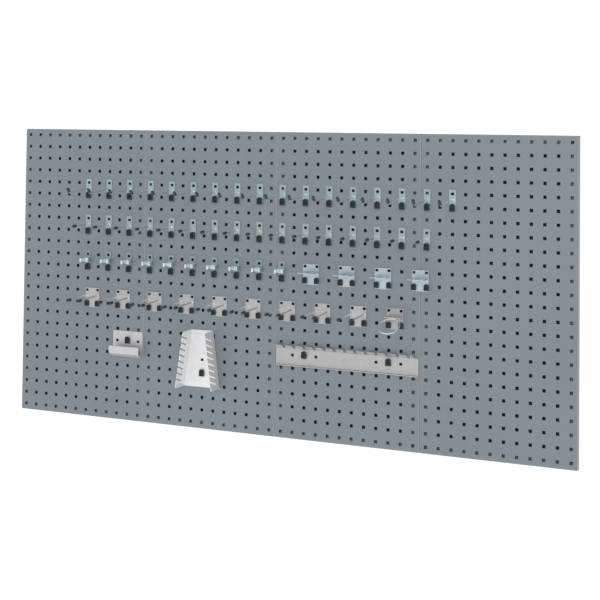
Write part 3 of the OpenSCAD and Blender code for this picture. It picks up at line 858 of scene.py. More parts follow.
def bent_rod():
    """The long hook's rod, drawn along +X with its end turned up."""
    hook = bpy.context.scene.wall_hooks
    span = math.hypot(hook.long_reach, hook.long_drop)
    turn = hook.upturn_angle + math.atan2(hook.long_drop, hook.long_reach)
    radius = 8 * MM
    back = setback(turn, radius)
    points = [Vector((x, 0, 0)) for x in (-ROD_SINK, span * 0.3, span * 0.6, span - back)]
    for k in range(1, 12):
        a = turn * k / 12
        points.append(Vector((span - back + radius * math.sin(a), 0, radius * (1 - math.cos(a)))))
    along = Vector((math.cos(turn), 0, math.sin(turn)))
    for reach in (back, hook.upturn):
        points.append(Vector((span, 0, 0)) + along * reach)
    return joined(sweep(points, hook.rod / 2), weld_pattern(hook.rod / 2, WELD))


def upturned_end():
    """The move from a rod's frame to the tip of the long hook's upturned end."""
    hook = bpy.context.scene.wall_hooks
    span = math.hypot(hook.long_reach, hook.long_drop)
    turn = hook.upturn_angle + math.atan2(hook.long_drop, hook.long_reach)
    return Matrix.Translation((span, 0, 0)) @ Matrix.Rotation(-turn, 4, "Y") @ Matrix.Translation((hook.upturn, 0, 0))


def clip_pattern():
    """Spring strip bent into two jaws with flared ends round a flat, riveted seat."""
    holder, hook, plate = bpy.context.scene.wall_holders, bpy.context.scene.wall_hooks, bpy.context.scene.wall_plates
    radius = holder.clip / 2 + holder.strip / 2
    seat_turn, throat_turn = math.radians(22), math.radians(52)
    centre = -plate.seat - plate.thick - holder.clip / 2 * math.cos(seat_turn) - holder.strip

    def jaw(start, end, steps):
        turns = [start + (end - start) * k / steps for k in range(steps + 1)]
        return [Vector((radius * math.cos(a), centre + radius * math.sin(a))) for a in turns]

    quarter = math.pi / 2
    tip = Vector((holder.clip * 0.53, centre - holder.clip * 0.68))
    right = jaw(quarter - seat_turn, -throat_turn, 22)
    waist = right[-1]
    lead = [waist + (tip - waist) * k / 6 + Vector((-0.06, -0.04)) * holder.clip * math.sin(math.pi * k / 6) * 0.5
            for k in range(1, 7)]
    side = right + lead
    mirror = [Vector((-p.x, p.y)) for p in side[::-1]]
    strip = ribbon(mirror + side, holder.strip, holder.strip_width, 0.25 * MM)
    for vert in strip.verts:
        up, x, y = vert.co
        vert.co = (x, y, -hook.root - HOLDER_DROP + up)
    bmesh.ops.recalc_face_normals(strip, faces=strip.faces)
    return strip


def rivet_pattern():
    """Domed rivet head over its washer-flat shoulder, and its shank through strip and plate."""
    holder, hook, plate = bpy.context.scene.wall_holders, bpy.context.scene.wall_hooks, bpy.context.scene.wall_plates
    r = holder.rivet / 2
    span = plate.thick + holder.strip
    rivet = lathe([(0, 0), (0, r), (span, r), (span, r * 1.68), (span + 0.35 * MM, r * 1.7),
                   (span + 0.7 * MM, r * 1.45),
                   (span + 0.95 * MM, r * 0.9), (span + MM, 0)], 24)
    rivet.transform(Matrix.Translation((0, -plate.seat,
                                        -hook.root - HOLDER_DROP)) @ Matrix.Rotation(-math.pi / 2, 4, "Z"))
    return rivet


def shelf_pattern(depth, slotted):
    """Shelf welded edge-on to a two-column plate, with or without slots for tools."""
    holder, hook, plate = bpy.context.scene.wall_holders, bpy.context.scene.wall_hooks, bpy.context.scene.wall_plates
    width = PITCH + plate.margin - 2 * MM
    slot_length = depth * 0.62
    corner = 3 * MM
    outline = rounded([(-width / 2, -depth, corner), (width / 2, -depth, corner), (width / 2, 0, 0),
                       (-width / 2, 0, 0)])
    holes = []
    for x in (-0.27 * width, 0.27 * width) if slotted else ():
        y = -depth * 0.55
        half = holder.slot / 2
        holes.append(box_outline(x - half, y - slot_length / 2, x + half, y + slot_length / 2, 2.5 * MM)[::-1])
    sheet = slab(outline, holes, plate.thick, plate.edge)
    seat = -plate.seat - plate.thick
    sheet.transform(Matrix.Translation((0, seat, -hook.root - HOLDER_DROP)))
    beads = []
    for x in (-0.32, 0.0, 0.32):
        run = [Vector((width * x - 5 * MM + 1.25 * MM * k, seat - 0.3 * MM,
                       -hook.root - HOLDER_DROP - 0.1 * MM)) for k in range(9)]
        beads.append(sweep(run, 0.9 * MM, 10, wobble=0.12, seed=int(10 + 10 * x)))
    return joined(sheet, *beads)


def ring_pattern():
    """Wire ring that leans down from its weld under the front edge of its shelf."""
    holder, hook, plate = bpy.context.scene.wall_holders, bpy.context.scene.wall_hooks, bpy.context.scene.wall_plates
    radius = holder.ring / 2
    points = []
    for k in range(72):
        a = math.tau * k / 72
        points.append(Vector((radius * math.sin(a), -radius + radius * math.cos(a), 0)))
    loop = sweep(points, holder.wire / 2, 14, closed=True)
    front = -plate.seat - plate.thick - holder.ring_arm + holder.wire
    under = -hook.root - HOLDER_DROP - holder.wire / 2
    lean = Matrix.Translation((0, front, under)) @ Matrix.Rotation(holder.ring_tilt, 4, "X")
    run = [Vector((-6 * MM + 1.5 * MM * k, front + holder.wire / 2, under + holder.wire * 0.3)) for k in range(9)]
    bead = sweep(run, 1.1 * MM, 10, wobble=0.12, seed=5)
    return joined((loop, lean), bead)


def with_tabs(sheet, spots):
    return joined(sheet, *[(tab_pattern(), Matrix.Translation((x, 0, 0))) for x in spots])


def ledge_pattern():
    """J-shaped ledge: a back plate folded out into a sloping floor and up into a lip."""
    rack, plate = bpy.context.scene.wall_racks, bpy.context.scene.wall_plates
    r = plate.fold
    floor_turn = math.pi / 2 + math.atan2(rack.ledge_slope, rack.ledge_depth)
    lip_turn = math.radians(85) - (floor_turn - math.pi / 2)
    floor_run = math.hypot(rack.ledge_depth, rack.ledge_slope)
    corner = plate.thick / 2
    first = -rack.ledge_drop + corner + setback(floor_turn, r)
    second = first - floor_turn * r - (floor_run - setback(floor_turn, r) - setback(lip_turn, r))
    bottom = second - lip_turn * r - (rack.ledge_lip - setback(lip_turn, r))
    half = rack.ledge_width / 2
    outline = rounded([(-half, bottom, 2 * MM), (half, bottom, 2 * MM), (half, rack.ledge_rise, 3 * MM),
                       (-half, rack.ledge_rise, 3 * MM)])
    sheet = slab(outline, [window_hole(-PITCH), window_hole(PITCH), lock_opening(0, 0)], plate.thick, plate.edge)
    fold(sheet, (0, second), (0, -1), lip_turn, r, plate.thick)
    fold(sheet, (0, first), (0, -1), floor_turn, r, plate.thick)
    return with_tabs(stand_up(sheet, plate.seat), (-PITCH, PITCH))


def rack_pattern():
    """Wrench rack: a tapered plate whose two slotted wings are folded square to it."""
    rack, plate = bpy.context.scene.wall_racks, bpy.context.scene.wall_plates
    r = plate.fold
    foot = Vector((rack.rack_bottom / 2, -rack.rack_drop))
    head = Vector((rack.rack_top / 2, rack.rack_rise))
    along = (head - foot).normalized()
    out = Vector((along.y, -along.x))
    span = (head - foot).length
    inner = -plate.thick / 2 - r
    shrink = r * (math.pi / 2 - 2) - plate.thick
    depth = rack.wing + shrink
    edge = []
    edge.append((depth, 0.0, WING_CORNER))
    step = (span - SLOTS_LOW - SLOTS_HIGH) / rack.slots
    slope = rack.slot_slope
    reach = rack.slot_reach / math.cos(slope)
    inward = Vector((-math.cos(slope), -math.sin(slope)))
    upward = Vector((math.sin(slope), -math.cos(slope)))
    for k in range(rack.slots):
        middle = Vector((depth, SLOTS_LOW + (k + 0.5) * step))
        half = rack.slot / 2
        mouth = half / math.cos(slope)
        low, high = middle - Vector((0, mouth)), middle + Vector((0, mouth))
        deep = middle + inward * reach
        edge.append((low.x, low.y, 1.8 * MM))
        edge.append((*(deep + upward * half), half * 0.98))
        edge.append((*(deep - upward * half), half * 0.98))
        edge.append((high.x, high.y, 1.8 * MM))
    edge.append((depth, span, WING_CORNER))

    def on_sheet(d, l, side):
        spot = foot + along * l + out * d
        return side * spot.x, spot.y

    right = [(*on_sheet(d, l, 1), radius) for d, l, radius in edge]
    left = [(*on_sheet(d, l, -1), radius) for d, l, radius in edge[::-1]]
    corners = [(foot.x, foot.y, 0)] + right + [(head.x, head.y, 0),
                                               (-head.x, head.y, 0)] + left + [(-foot.x, foot.y, 0)]
    outline = rounded(corners)
    sheet = slab(outline, [window_hole(0), lock_opening(0, -PITCH)], plate.thick, plate.edge)
    for side in (1, -1):
        at = foot + out * inner
        fold(sheet, (side * at.x, at.y), (side * out.x, out.y), math.pi / 2, r, plate.thick)
    return with_tabs(stand_up(sheet, plate.seat), (0,))


def rail_pattern():
    """Tool rail: a long plate with a toothed flange above and a scalloped hem below."""
    rack, plate = bpy.context.scene.wall_racks, bpy.context.scene.wall_plates
    board = bpy.context.scene.wall_board
    r = plate.fold
    half = (COLUMNS * PITCH - board.seam) / 2 - rack.rail_margin
    top_turn = math.atan2(rack.tooth_reach, rack.tooth_rise)
    hem_turn = math.radians(72)
    flange = math.hypot(rack.tooth_reach, rack.tooth_rise)
    top_bend = rack.rail_rise - setback(top_turn, r)
    top = top_bend + top_turn * r + flange - setback(top_turn, r)
    low_bend = -rack.rail_drop + setback(hem_turn, r)
    bottom = low_bend - hem_turn * r - (rack.hem - setback(hem_turn, r))
    step = (2 * half + rack.tooth_gap) / rack.teeth
    notch = top_bend + 2 * MM
    corners = [(-half, bottom, 1.5 * MM)]
    for k in range(1, rack.teeth):
        x = -half + (k - 0.5) * step
        scallop = rack.hem * 0.6
        corners += [(x - scallop, bottom, MM), (x - scallop * 0.55, bottom + scallop * 0.6, 1.5 * MM),
                    (x + scallop * 0.55, bottom + scallop * 0.6, 1.5 * MM), (x + scallop, bottom, MM)]
    corners += [(half, bottom, 1.5 * MM), (half, top_bend + 3 * MM, 4 * MM)]
    last = half - 0.35 * step
    corners += [(last, top_bend + 4 * MM, 2 * MM), (last - 2 * MM, top, 2 * MM)]
    for k in range(rack.teeth - 1, 0, -1):
        x = -half + k * step
        gap = rack.tooth_gap
        corners += [(x, top, 2.2 * MM), (x, notch, 1.6 * MM), (x - gap, notch, 1.6 * MM), (x - gap, top, 2.2 * MM)]
    corners += [(-half, top, 2.5 * MM)]
    centre = (RAIL_PANEL + 0.5) * COLUMNS - 0.5
    holes, spots = [], []
    for column in RAIL_LOCKS:
        x = (column - centre) * PITCH
        holes += [window_hole(x - PITCH), window_hole(x + PITCH), lock_opening(x, 0)]
        spots += [x - PITCH, x + PITCH]
    sheet = slab(rounded(corners, 4), holes, plate.thick, plate.edge)
    fold(sheet, (0, top_bend), (0, 1), top_turn, r, plate.thick)
    fold(sheet, (0, low_bend), (0, -1), hem_turn, r, plate.thick)
    return with_tabs(stand_up(sheet, plate.seat), spots)


# ---------------------------------------------------------------- the perforated panel


def panel_pattern():
    """Folded panel, drawn with its middle on the axis, its face outwards and its lips on the wall."""
    board = bpy.context.scene.wall_board
    bm = bmesh.new()
    mark = edge_layer(bm)
    half_w = (COLUMNS * PITCH - board.seam) / 2 - board.bend
    half_h = BOARD_H / 2 - board.bend
    xs = [-half_w] + [(k - COLUMNS / 2) * PITCH for k in range(1, COLUMNS)] + [half_w]
    zs = [-half_h] + [(k - ROWS / 2) * PITCH for k in range(1, ROWS)] + [half_h]
    front, back = FACE_Y, FACE_Y + board.sheet
    made = {}

    def corner(x, y, z, wear=0.0):
        key = (round(x, 6), round(y, 6), round(z, 6))
        if key not in made:
            made[key] = bm.verts.new((x, y, z))
            made[key][mark] = wear
        return made[key]

    def hole_ring(cx, cz, y, grow):
        half = board.hole / 2 + grow
        radius = board.hole_corner + grow
        ring = []
        wear = 0.0 if grow > board.burr else 1.0
        for turn in (0, 1, 2, 3):
            sx, sz = ((1, 1), (-1, 1), (-1, -1), (1, -1))[turn]
            mx, mz = cx + sx * (half - radius), cz + sz * (half - radius)
            for k in (0, 1, 2, 3):
                a = math.pi / 2 * (turn + k / 3)
                ring.append(corner(mx + radius * math.cos(a), y, mz + radius * math.sin(a), wear))
        return ring

    def cell_ring(cx, cz, x0, x1, z0, z1, y):
        near = board.hole / 2 - board.hole_corner
        ring = []
        for turn in (0, 1, 2, 3):
            sx, sz = ((1, 1), (-1, 1), (-1, -1), (1, -1))[turn]
            bx, bz = (x1 if sx > 0 else x0), (z1 if sz > 0 else z0)
            side, top = (bx, cz + sz * near), (cx + sx * near, bz)
            first, last = (side, top) if turn in (0, 2) else (top, side)
            ring += [corner(first[0], y, first[1]), corner(bx, y, bz), corner(last[0], y, last[1])]
        return ring

    for i in range(COLUMNS):
        for j in range(ROWS):
            cx = (i + 0.5 - COLUMNS / 2) * PITCH
            cz = (j + 0.5 - ROWS / 2) * PITCH
            rolls = [(front, board.burr + 0.4 * MM), (front, board.burr),
                     (front + board.burr * 0.3, board.burr * 0.3), (front + board.burr, 0.0),
                     (back - 0.15 * MM, 0.0), (back, 0.15 * MM)]
            rings = [hole_ring(cx, cz, y, grow) for y, grow in rolls]
            for low, high in zip(rings, rings[1:]):
                bridge(bm, low, high)
            for y, ring in ((front, rings[0]), (back, rings[-1])):
                cell = cell_ring(cx, cz, xs[i], xs[i + 1], zs[j], zs[j + 1], y)
                for q in range(4):
                    a, c, b = cell[3 * q], cell[3 * q + 1], cell[3 * q + 2]
                    r0, r1, r2, r3 = ring[4 * q : 4 * q + 4]
                    follow = cell[(3 * q + 3) % 12]
                    bm.faces.new((a, c, r1, r0))
                    bm.faces.new((c, r2, r1))
                    bm.faces.new((c, b, r3, r2))
                    bm.faces.new((b, follow, ring[(4 * q + 4) % 16], r3))
    folded_edge(bm, corner, xs, half_h, front, "z", board)
    folded_edge(bm, corner, zs, half_w, front, "x", board)
    bmesh.ops.recalc_face_normals(bm, faces=bm.faces)
    parts = [bm]
    for side in range(4):
        parts.append(lip_pattern(side, half_w, half_h, board))
    return joined(*parts)


def folded_edge(bm, corner, stops, limit, front, axis, board):
    """The bend and flange along two opposite edges, carried on from the sheet's own rim."""
    near = board.hole / 2 - board.hole_corner
    places = [stops[0]]
    for low, high in zip(stops, stops[1:]):
        nominal_low = high - PITCH if low == stops[0] else low
        middle = nominal_low + PITCH / 2
        places += [middle - near, middle + near, high]
    radius, thick = board.bend, board.sheet
    for side in (1, -1):
        rows = []
        profile = []
        for k in range(6):
            a = math.pi / 2 * k / 5
            profile.append(((radius * math.sin(a), front + radius - radius * math.cos(a)),
                            ((radius - thick) * math.sin(a), front + radius - (radius - thick) * math.cos(a))))
        end = -thick
        profile.append(((radius, end), (radius - thick, end)))
        for skin in (0, 1):
            for level, pair in enumerate(profile):
                # Edge value 2.0 on the bend's outer skin: painted highlight, shown as light grey by the enamel, for
                # the light the bends catch along the seams.
                rim = (0.0, 2.0)[skin == 0 and 0 < level < len(profile)]
                reach, y = pair[skin]
                reach = side * (limit + reach)
                row = [corner(p, y, reach, rim) if axis == "z" else corner(reach, y, p, rim) for p in places]
                rows.append(row)
        count = len(profile)
        outer, inner = rows[:count], rows[count:]
        for skin in (outer, inner):
            for low, high in zip(skin, skin[1:]):
                for k in range(len(places) - 1):
                    bm.faces.new((low[k], low[k + 1], high[k + 1], high[k]))
        for k in range(len(places) - 1):
            bm.faces.new((outer[-1][k], outer[-1][k + 1], inner[-1][k + 1], inner[-1][k]))
        for k in (0, -1):
            for level in range(count - 1):
                bm.faces.new((outer[level][k], outer[level + 1][k], inner[level + 1][k], inner[level][k]))


def lip_pattern(side, half_w, half_h, board):
    """One returned lip: a mitred strip on the wall plane, notched at both ends for the wall screws."""
    across = side in (1, 3)
    half = (half_w if not across else half_h) + board.bend - 0.3 * MM
    limit = (half_h if not across else half_w) + board.bend
    inset_by = PITCH / 2 - board.seam / 2 if not across else PITCH / 2
    deep_by = PITCH / 2 if not across else PITCH / 2 - board.seam / 2
    half_true = half + 0.3 * MM
    corner_x = half_true - inset_by
    radius = board.screw / 2
    points = [Vector((-half, 0)), Vector((half, 0))]
    centre = Vector((corner_x, -deep_by))
    start = math.radians(45)
    for k in range(11):
        a = start + math.pi * k / 10
        points.append(centre + radius * Vector((math.cos(a), math.sin(a))) + Vector((-0.2 * MM, 0)))
    points.append(Vector((half - board.lip, -board.lip)))
    mirror = [Vector((-p.x, p.y)) for p in points[2:][::-1]]
    outline = (points + mirror)[::-1]
    strip = slab(outline, [], board.sheet, 0.15 * MM, 0.2 * MM)
    turn = Matrix.Rotation(math.pi / 2 * side, 4, "Y")
    mark = edge_layer(strip)
    for vert in strip.verts:
        x, z, w = vert.co
        # Edge value 1.6 on the lip's front face: painted light, a lighter grey seen through the holes next to the
        # panels' edges.
        if w > board.sheet / 2:
            vert[mark] = 1.6
        vert.co = (x, -w, limit + z)
    bmesh.ops.recalc_face_normals(strip, faces=strip.faces)
    strip.transform(turn)
    return strip


# ---------------------------------------------------------------- operators


class WallOperator:
    """What the wall's operators share."""

    bl_options = {"REGISTER", "UNDO"}

    def execute(self, context):
        self.make(context)
        return {"FINISHED"}


class WALL_OT_panels(WallOperator, bpy.types.Operator):
    """Make the four perforated, folded panels"""

    bl_idname = "wall.panels"
    bl_label = "Panels"

    def make(self, context):
        pattern = panel_pattern()
        for k in range(PANELS):
            x = (k + 0.5) * COLUMNS * PITCH - BOARD_W / 2
            node = f"panel_{k + 1}"
            set_out(f"{node}_enamelled", pattern, [Matrix.Translation((x, 0, 0))], finish_named("enamel"), "board",
                    node, crease=24)
        pattern.free()


def lay_out(prefix, pattern, first_place, places, finish, bodies, nodes):
    """Sets out a pattern twice: once for the piece that has joints, and once for all its repeats."""
    first_body, first_node = bodies[0], nodes[0]
    set_out(f"first_{prefix}", pattern, [first_place], finish, first_body, first_node)
    set_out(f"{prefix}_repeats", pattern, places, finish, bodies[1], nodes[1])
    pattern.free()


def locks_below(column, row, body, node, columns=1):
    """One loose lock under a tab's column, on a plate of one or two columns."""
    pattern = upper_lock_pattern(columns, False)
    place = hole_place(column, row) @ Matrix.Translation((0, 0, -PITCH))
    set_out(f"{node}_moulded", pattern, [place], finish_named("lock"), body, node)
    pattern.free()


def fixed_locks(columns, row, node, width=1):
    """The fixed locks of a row of plates, each plate one or two columns wide."""
    pattern = upper_lock_pattern(width, True)
    places = [hole_place(column, row) @ Matrix.Translation((0, 0, -PITCH)) for column in columns]
    set_out(f"{node}_moulded", pattern, places, finish_named("lock"), "board", node)
    pattern.free()


class WALL_OT_long_hooks(WallOperator, bpy.types.Operator):
    """Make the row of long hooks with upturned, capped ends"""

    bl_idname = "wall.long_hooks"
    bl_label = "Long hooks"

    def make(self, context):
        hook = context.scene.wall_hooks
        first = hole_place(FIRST, LONG_ROW)
        places = [hole_place(column, LONG_ROW) for column in LONG_COLUMNS]
        frame_move = rod_frame(hook.long_reach, hook.long_drop)
        tip = frame_move @ upturned_end()
        bodies = ("long_hook", "board")
        lay_out("long_hook_plate", plate_pattern(1), first, places, finish_named("cool_zinc"), bodies,
                ("first_long_hook_plate", "long_hook_plates"))
        lay_out("long_hook_rod", bent_rod(), first @ frame_move, [p @ frame_move for p in places],
                finish_named("rod_zinc"), bodies, ("first_long_hook_rod", "long_hook_rods"))
        lay_out("long_hook_cap", cap_pattern(), first @ tip, [p @ tip for p in places], finish_named("cap"), bodies,
                ("first_long_hook_cap", "long_hook_caps"))
        locks_below(FIRST, LONG_ROW, "long_hook_lock", "first_long_hook_lock")
        fixed_locks(LONG_COLUMNS, LONG_ROW, "long_hook_locks")


class WALL_OT_short_hooks(WallOperator, bpy.types.Operator):
    """Make the row of short, capped hooks"""

    bl_idname = "wall.short_hooks"
    bl_label = "Short hooks"

    def make(self, context):
        hook = context.scene.wall_hooks
        first = hole_place(FIRST, SHORT_ROW)
        places = [hole_place(column, SHORT_ROW) for column in SHORT_COLUMNS]
        frame_move = rod_frame(hook.short_reach, hook.short_drop)
        tip = frame_move @ Matrix.Translation((math.hypot(hook.short_reach, hook.short_drop), 0, 0))
        bodies = ("short_hook", "board")
        lay_out("short_hook_plate", plate_pattern(1), first, places, finish_named("dull_zinc"), bodies,
                ("first_short_hook_plate", "short_hook_plates"))
        lay_out("short_hook_rod", straight_rod(hook.short_reach, hook.short_drop), first @ frame_move,
                [p @ frame_move for p in places], finish_named("rod_zinc"), bodies,
                ("first_short_hook_rod", "short_hook_rods"))
        lay_out("short_hook_cap", cap_pattern(), first @ tip, [p @ tip for p in places], finish_named("cap"), bodies,
                ("first_short_hook_cap", "short_hook_caps"))
        locks_below(FIRST, SHORT_ROW, "short_hook_lock", "first_short_hook_lock")
        fixed_locks(SHORT_COLUMNS, SHORT_ROW, "short_hook_locks")


class WALL_OT_spring_clips(WallOperator, bpy.types.Operator):
    """Make the row of riveted spring clips"""

    bl_idname = "wall.spring_clips"
    bl_label = "Spring clips"

    def make(self, context):
        holder, hook = context.scene.wall_holders, context.scene.wall_hooks
        first = hole_place(FIRST, CLIP_ROW)
        places = [hole_place(column, CLIP_ROW) for column in CLIP_COLUMNS]
        bodies = ("spring_clip", "board")
        rivet_hole = (-hook.root - HOLDER_DROP, holder.rivet / 2)
        lay_out("clip_plate", plate_pattern(1, rivet_hole), first, places, finish_named("dark_zinc"), bodies,
                ("first_clip_plate", "clip_plates"))
        lay_out("clip_spring", clip_pattern(), first, places, finish_named("spring_steel"), bodies,
                ("first_clip_spring", "clip_springs"))
        lay_out("clip_rivet", rivet_pattern(), first, places, finish_named("bright_zinc"), bodies,
                ("first_clip_rivet", "clip_rivets"))
        locks_below(FIRST, CLIP_ROW, "clip_lock", "first_clip_lock")
        fixed_locks(CLIP_COLUMNS, CLIP_ROW, "clip_locks")


class WALL_OT_plier_holders(WallOperator, bpy.types.Operator):
    """Make the plier holders with their slotted shelves"""

    bl_idname = "wall.plier_holders"
    bl_label = "Plier holders"

    def make(self, context):
        first = hole_place(PLIER_FIRST + 0.5, CLIP_ROW)
        places = [hole_place(column + 0.5, CLIP_ROW) for column in PLIER_COLUMNS]
        bodies = ("plier_holder", "board")
        depth = context.scene.wall_holders.shelf
        lay_out("plier_plate", plate_pattern(2), first, places, finish_named("shelf_zinc"), bodies,
                ("first_plier_plate", "plier_plates"))
        lay_out("plier_shelf", shelf_pattern(depth, True), first, places, finish_named("shelf_zinc"), bodies,
                ("first_plier_shelf", "plier_shelves"))
        for side, offset in (("left", 0), ("right", 1)):
            locks_below(PLIER_FIRST + offset, CLIP_ROW, f"plier_lock_{side}", f"first_plier_lock_{side}", 2)
        fixed_locks([c + k for c in PLIER_COLUMNS for k in (0, 1)], CLIP_ROW, "plier_locks", 2)


class WALL_OT_double_hooks(WallOperator, bpy.types.Operator):
    """Make the row of double hooks"""

    bl_idname = "wall.double_hooks"
    bl_label = "Double hooks"

    def make(self, context):
        hook = context.scene.wall_hooks
        first = hole_place(FIRST + 0.5, DOUBLE_ROW)
        places = [hole_place(column + 0.5, DOUBLE_ROW) for column in DOUBLE_COLUMNS]
        pair = [Matrix.Translation((side * PITCH / 2, 0, 0)) for side in (-1, 1)]
        frame_move = rod_frame(hook.double_reach, hook.double_drop)
        tip = frame_move @ Matrix.Translation((math.hypot(hook.double_reach, hook.double_drop), 0, 0))
        bodies = ("double_hook", "board")
        lay_out("double_hook_plate", plate_pattern(2), first, places, finish_named("pale_zinc"), bodies,
                ("first_double_plate", "double_hook_plates"))
        rod = straight_rod(hook.double_reach, hook.double_drop)
        rods = joined(*[(rod.copy(), move @ frame_move) for move in pair])
        rod.free()
        lay_out("double_hook_rods", rods, first, places, finish_named("rod_zinc"), bodies,
                ("first_double_rods", "double_hook_rods"))
        cap = cap_pattern()
        caps = joined(*[(cap.copy(), move @ tip) for move in pair])
        cap.free()
        lay_out("double_hook_caps", caps, first, places, finish_named("cap"), bodies,
                ("first_double_caps", "double_hook_caps"))
        for side, offset in (("left", 0), ("right", 1)):
            locks_below(FIRST + offset, DOUBLE_ROW, f"double_lock_{side}", f"first_double_lock_{side}", 2)
        fixed_locks([c + k for c in DOUBLE_COLUMNS for k in (0, 1)], DOUBLE_ROW, "double_hook_locks", 2)


def single(name, pattern, place, finish, body, node):
    set_out(name, pattern, [place], finish_named(finish), body, node)
    pattern.free()


class WALL_OT_ring_holder(WallOperator, bpy.types.Operator):
    """Make the wire ring on its plate"""

    bl_idname = "wall.ring_holder"
    bl_label = "Ring holder"

    def make(self, context):
        place = hole_place(RING_COLUMN + 0.5, DOUBLE_ROW)
        shelf = shelf_pattern(context.scene.wall_holders.ring_arm, False)
        single("ring_holder_plate", plate_pattern(2), place, "ring_zinc", "ring_holder", "ring_plate")
        single("ring_holder_shelf", shelf, place, "ring_zinc", "ring_holder", "ring_shelf")
        single("ring_holder_wire", ring_pattern(), place, "rod_zinc", "ring_holder", "ring_wire_loop")
        for side, offset in (("left", 0), ("right", 1)):
            locks_below(RING_COLUMN + offset, DOUBLE_ROW, f"ring_lock_{side}", f"ring_lock_{side}", 2)


class WALL_OT_ledge(WallOperator, bpy.types.Operator):
    """Make the J-shaped ledge"""

    bl_idname = "wall.ledge"
    bl_label = "Ledge"

    def make(self, context):
        place = hole_place(LEDGE_COLUMN, LOW_ROW)
        single("ledge_sheet", ledge_pattern(), place, "ledge_zinc", "ledge", "ledge_plate")
        single("ledge_lock_moulded", lower_lock_pattern(), place, "lock", "ledge_lock", "ledge_lock")


class WALL_OT_wrench_rack(WallOperator, bpy.types.Operator):
    """Make the slotted wrench rack"""

    bl_idname = "wall.wrench_rack"
    bl_label = "Wrench rack"

    def make(self, context):
        place = hole_place(RACK_COLUMN, RACK_ROW)
        single("wrench_rack_sheet", rack_pattern(), place, "bright_zinc", "wrench_rack", "wrench_rack_plate")
        locks_below(RACK_COLUMN, RACK_ROW, "wrench_rack_lock", "wrench_rack_lock")


class WALL_OT_tool_rail(WallOperator, bpy.types.Operator):
    """Make the toothed tool rail"""

    bl_idname = "wall.tool_rail"
    bl_label = "Tool rail"

    def make(self, context):
        place = hole_place((RAIL_PANEL + 0.5) * COLUMNS - 0.5, LOW_ROW)
        single("tool_rail_sheet", rail_pattern(), place, "pale_zinc", "tool_rail", "tool_rail_plate")
        for side, column in zip(("left", "right"), RAIL_LOCKS):
            single(f"rail_lock_{side}_moulded", lower_lock_pattern(), hole_place(column, LOW_ROW), "lock",
                   f"rail_lock_{side}", f"tool_rail_lock_{side}")


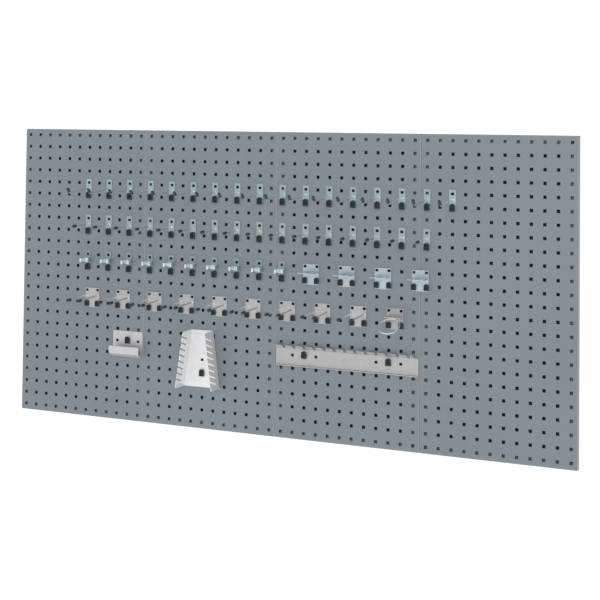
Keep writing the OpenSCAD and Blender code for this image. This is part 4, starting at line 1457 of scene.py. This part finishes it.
class WALL_OT_stage(WallOperator, bpy.types.Operator):
    """Make the camera, the lights, the floor and the painted shade: near-black sheets behind the panels that darken
    the holes
    """

    bl_idname = "wall.stage"
    bl_label = "Stage"

    def make(self, context):
        stage = context.scene.wall_stage
        scene = context.scene
        data = bpy.data.cameras.new("camera")
        data.lens = stage.lens
        data.sensor_width = 36.0
        data.shift_x, data.shift_y = stage.shift
        data.clip_end = 100.0
        camera = bpy.data.objects.new("camera", data)
        scene.collection.objects.link(camera)
        turn = Matrix.Rotation(stage.azimuth, 4, "Z") @ Matrix.Rotation(math.pi / 2 + stage.elevation, 4, "X")
        camera.matrix_world = Matrix.Translation(stage.place) @ turn @ Matrix.Rotation(stage.roll, 4, "Z")
        scene.camera = camera
        scene.view_settings.view_transform = "Standard"
        floor_level = CAD_BOX[0][2] - stage.floor_gap
        self.sheet("floor",
                   [(-60, -60, floor_level), (60, -60, floor_level), (60, 60, floor_level), (-60, 60, floor_level)],
                   self.pale_floor())
        # Painted shade: a near-black sheet just behind each panel, inside its rim, darkens what is seen through the
        # holes.
        shade_sheet = self.one_sided_wall()
        for k in range(PANELS):
            low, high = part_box(f"panel_{k + 1}")
            rim = 2 * MM
            behind = 0.4 * MM
            left, right, bottom, top = low[0] + rim, high[0] - rim, low[2] + rim, high[2] - rim
            corners = [(left, behind, bottom), (right, behind, bottom), (right, behind, top), (left, behind, top)]
            self.sheet(f"wall_card_{k + 1}", corners, shade_sheet)
        self.light("key", (0.9, -4.2, 1.7), (0, 0, 0), 1.2, 45)
        self.light("fill", (-3.6, -3.2, 1.4), (0, 0, 0), 3.0, 12)
        scene.world = self.studio_world()

    def studio_world(self):
        """White to the camera; for light and reflections, a white studio with a darker floor and front wall."""
        world = bpy.data.worlds.new("studio")
        paint = Paint(world, "ShaderNodeOutputWorld")
        where = paint.add("ShaderNodeTexCoord", output="Generated")
        up = paint.add("ShaderNodeSeparateXYZ", None, {0: where}, 2)
        toward = paint.add("ShaderNodeSeparateXYZ", None, {0: where}, 1)
        level = paint.span(up * 0.8 + toward * -0.35, -0.6, 0.7, 0.1, 0.62)
        seen = paint.add("ShaderNodeLightPath", output="Is Camera Ray")
        strength = level + (seen * (1.1 - level))
        glow = paint.add("ShaderNodeBackground", None, {"Color": (1, 1, 1, 1), "Strength": strength})
        paint.tree.links.new(glow.socket, paint.output.inputs["Surface"])
        return world

    def sheet(self, name, corners, material):
        mesh = bpy.data.meshes.new(name)
        mesh.from_pydata(corners, [], [(0, 1, 2, 3)])
        mesh.materials.append(material)
        piece = bpy.data.objects.new(name, mesh)
        bpy.context.scene.collection.objects.link(piece)
        return piece

    def light(self, name, place, aim, size, power):
        data = bpy.data.lights.new(name, "AREA")
        data.shape = "DISK"
        data.size = size
        data.energy = power
        lamp = bpy.data.objects.new(name, data)
        bpy.context.scene.collection.objects.link(lamp)
        lamp.location = place
        lamp.rotation_euler = (Vector(aim) - Vector(place)).to_track_quat("-Z", "Y").to_euler()

    def pale_floor(self):
        paint = Paint(bpy.data.materials.new("pale_floor"))
        cloud = paint.noise(paint.place(), 0.8)
        tint = paint.mix(paint.span(cloud, 0.3, 0.7), (0.93, 0.93, 0.93), (0.96, 0.96, 0.96))
        return paint.finish(Base_Color=tint, Roughness=0.9, Emission_Color=(1.0, 1.0, 1.0), Emission_Strength=0.55)

    def one_sided_wall(self):
        """Painted shade: a near-black sheet that shows from the front only, standing in for the shade seen through the
        holes, so the panels' backs can be looked at.
        """
        paint = Paint(bpy.data.materials.new("one_sided_wall"))
        rear = paint.add("ShaderNodeNewGeometry", output="Backfacing")
        seen = paint.add("ShaderNodeLightPath", output="Is Camera Ray")
        # Near-black diffuse colour of the painted shade; camera rays from behind pass through it.
        shade_sheet = paint.add("ShaderNodeBsdfDiffuse", None, {"Color": (0.05, 0.055, 0.06, 1)})
        clear = paint.add("ShaderNodeBsdfTransparent")
        both = paint.add("ShaderNodeMixShader", None, {0: rear * seen, 1: shade_sheet, 2: clear})
        paint.tree.links.new(both.socket, paint.output.inputs["Surface"])
        return paint.material


OPERATORS = (WALL_OT_panels, WALL_OT_long_hooks, WALL_OT_short_hooks, WALL_OT_spring_clips,
             WALL_OT_plier_holders, WALL_OT_double_hooks, WALL_OT_ring_holder, WALL_OT_ledge,
             WALL_OT_wrench_rack, WALL_OT_tool_rail, WALL_OT_stage)
GROUPS = {"wall_board": BoardSizes, "wall_plates": PlateSizes, "wall_locks": LockSizes, "wall_hooks": HookSizes,
          "wall_holders": HolderSizes, "wall_racks": RackSizes, "wall_finishes": Finishes, "wall_stage": StageSettings}


class WALL_PT_sidebar(bpy.types.Panel):
    """The wall's tools, listed in the sidebar"""

    bl_label = "Tool Wall"
    bl_idname = "WALL_PT_sidebar"
    bl_space_type = "VIEW_3D"
    bl_region_type = "UI"
    bl_category = "Tool Wall"

    def draw(self, context):
        for operator in OPERATORS:
            self.layout.operator(operator.bl_idname)


def register():
    for group in GROUPS.values():
        bpy.utils.register_class(group)
    for name, group in GROUPS.items():
        setattr(bpy.types.Scene, name, PointerProperty(type=group))
    for operator in OPERATORS:
        bpy.utils.register_class(operator)
    bpy.utils.register_class(WALL_PT_sidebar)


def unregister():
    bpy.utils.unregister_class(WALL_PT_sidebar)
    for operator in reversed(OPERATORS):
        bpy.utils.unregister_class(operator)
    for name in GROUPS:
        delattr(bpy.types.Scene, name)
    for group in reversed(list(GROUPS.values())):
        bpy.utils.unregister_class(group)


def main():
    register()
    for operator in OPERATORS:
        group, name = operator.bl_idname.split(".")
        getattr(getattr(bpy.ops, group), name)()


if __name__ == "__main__":
    main()
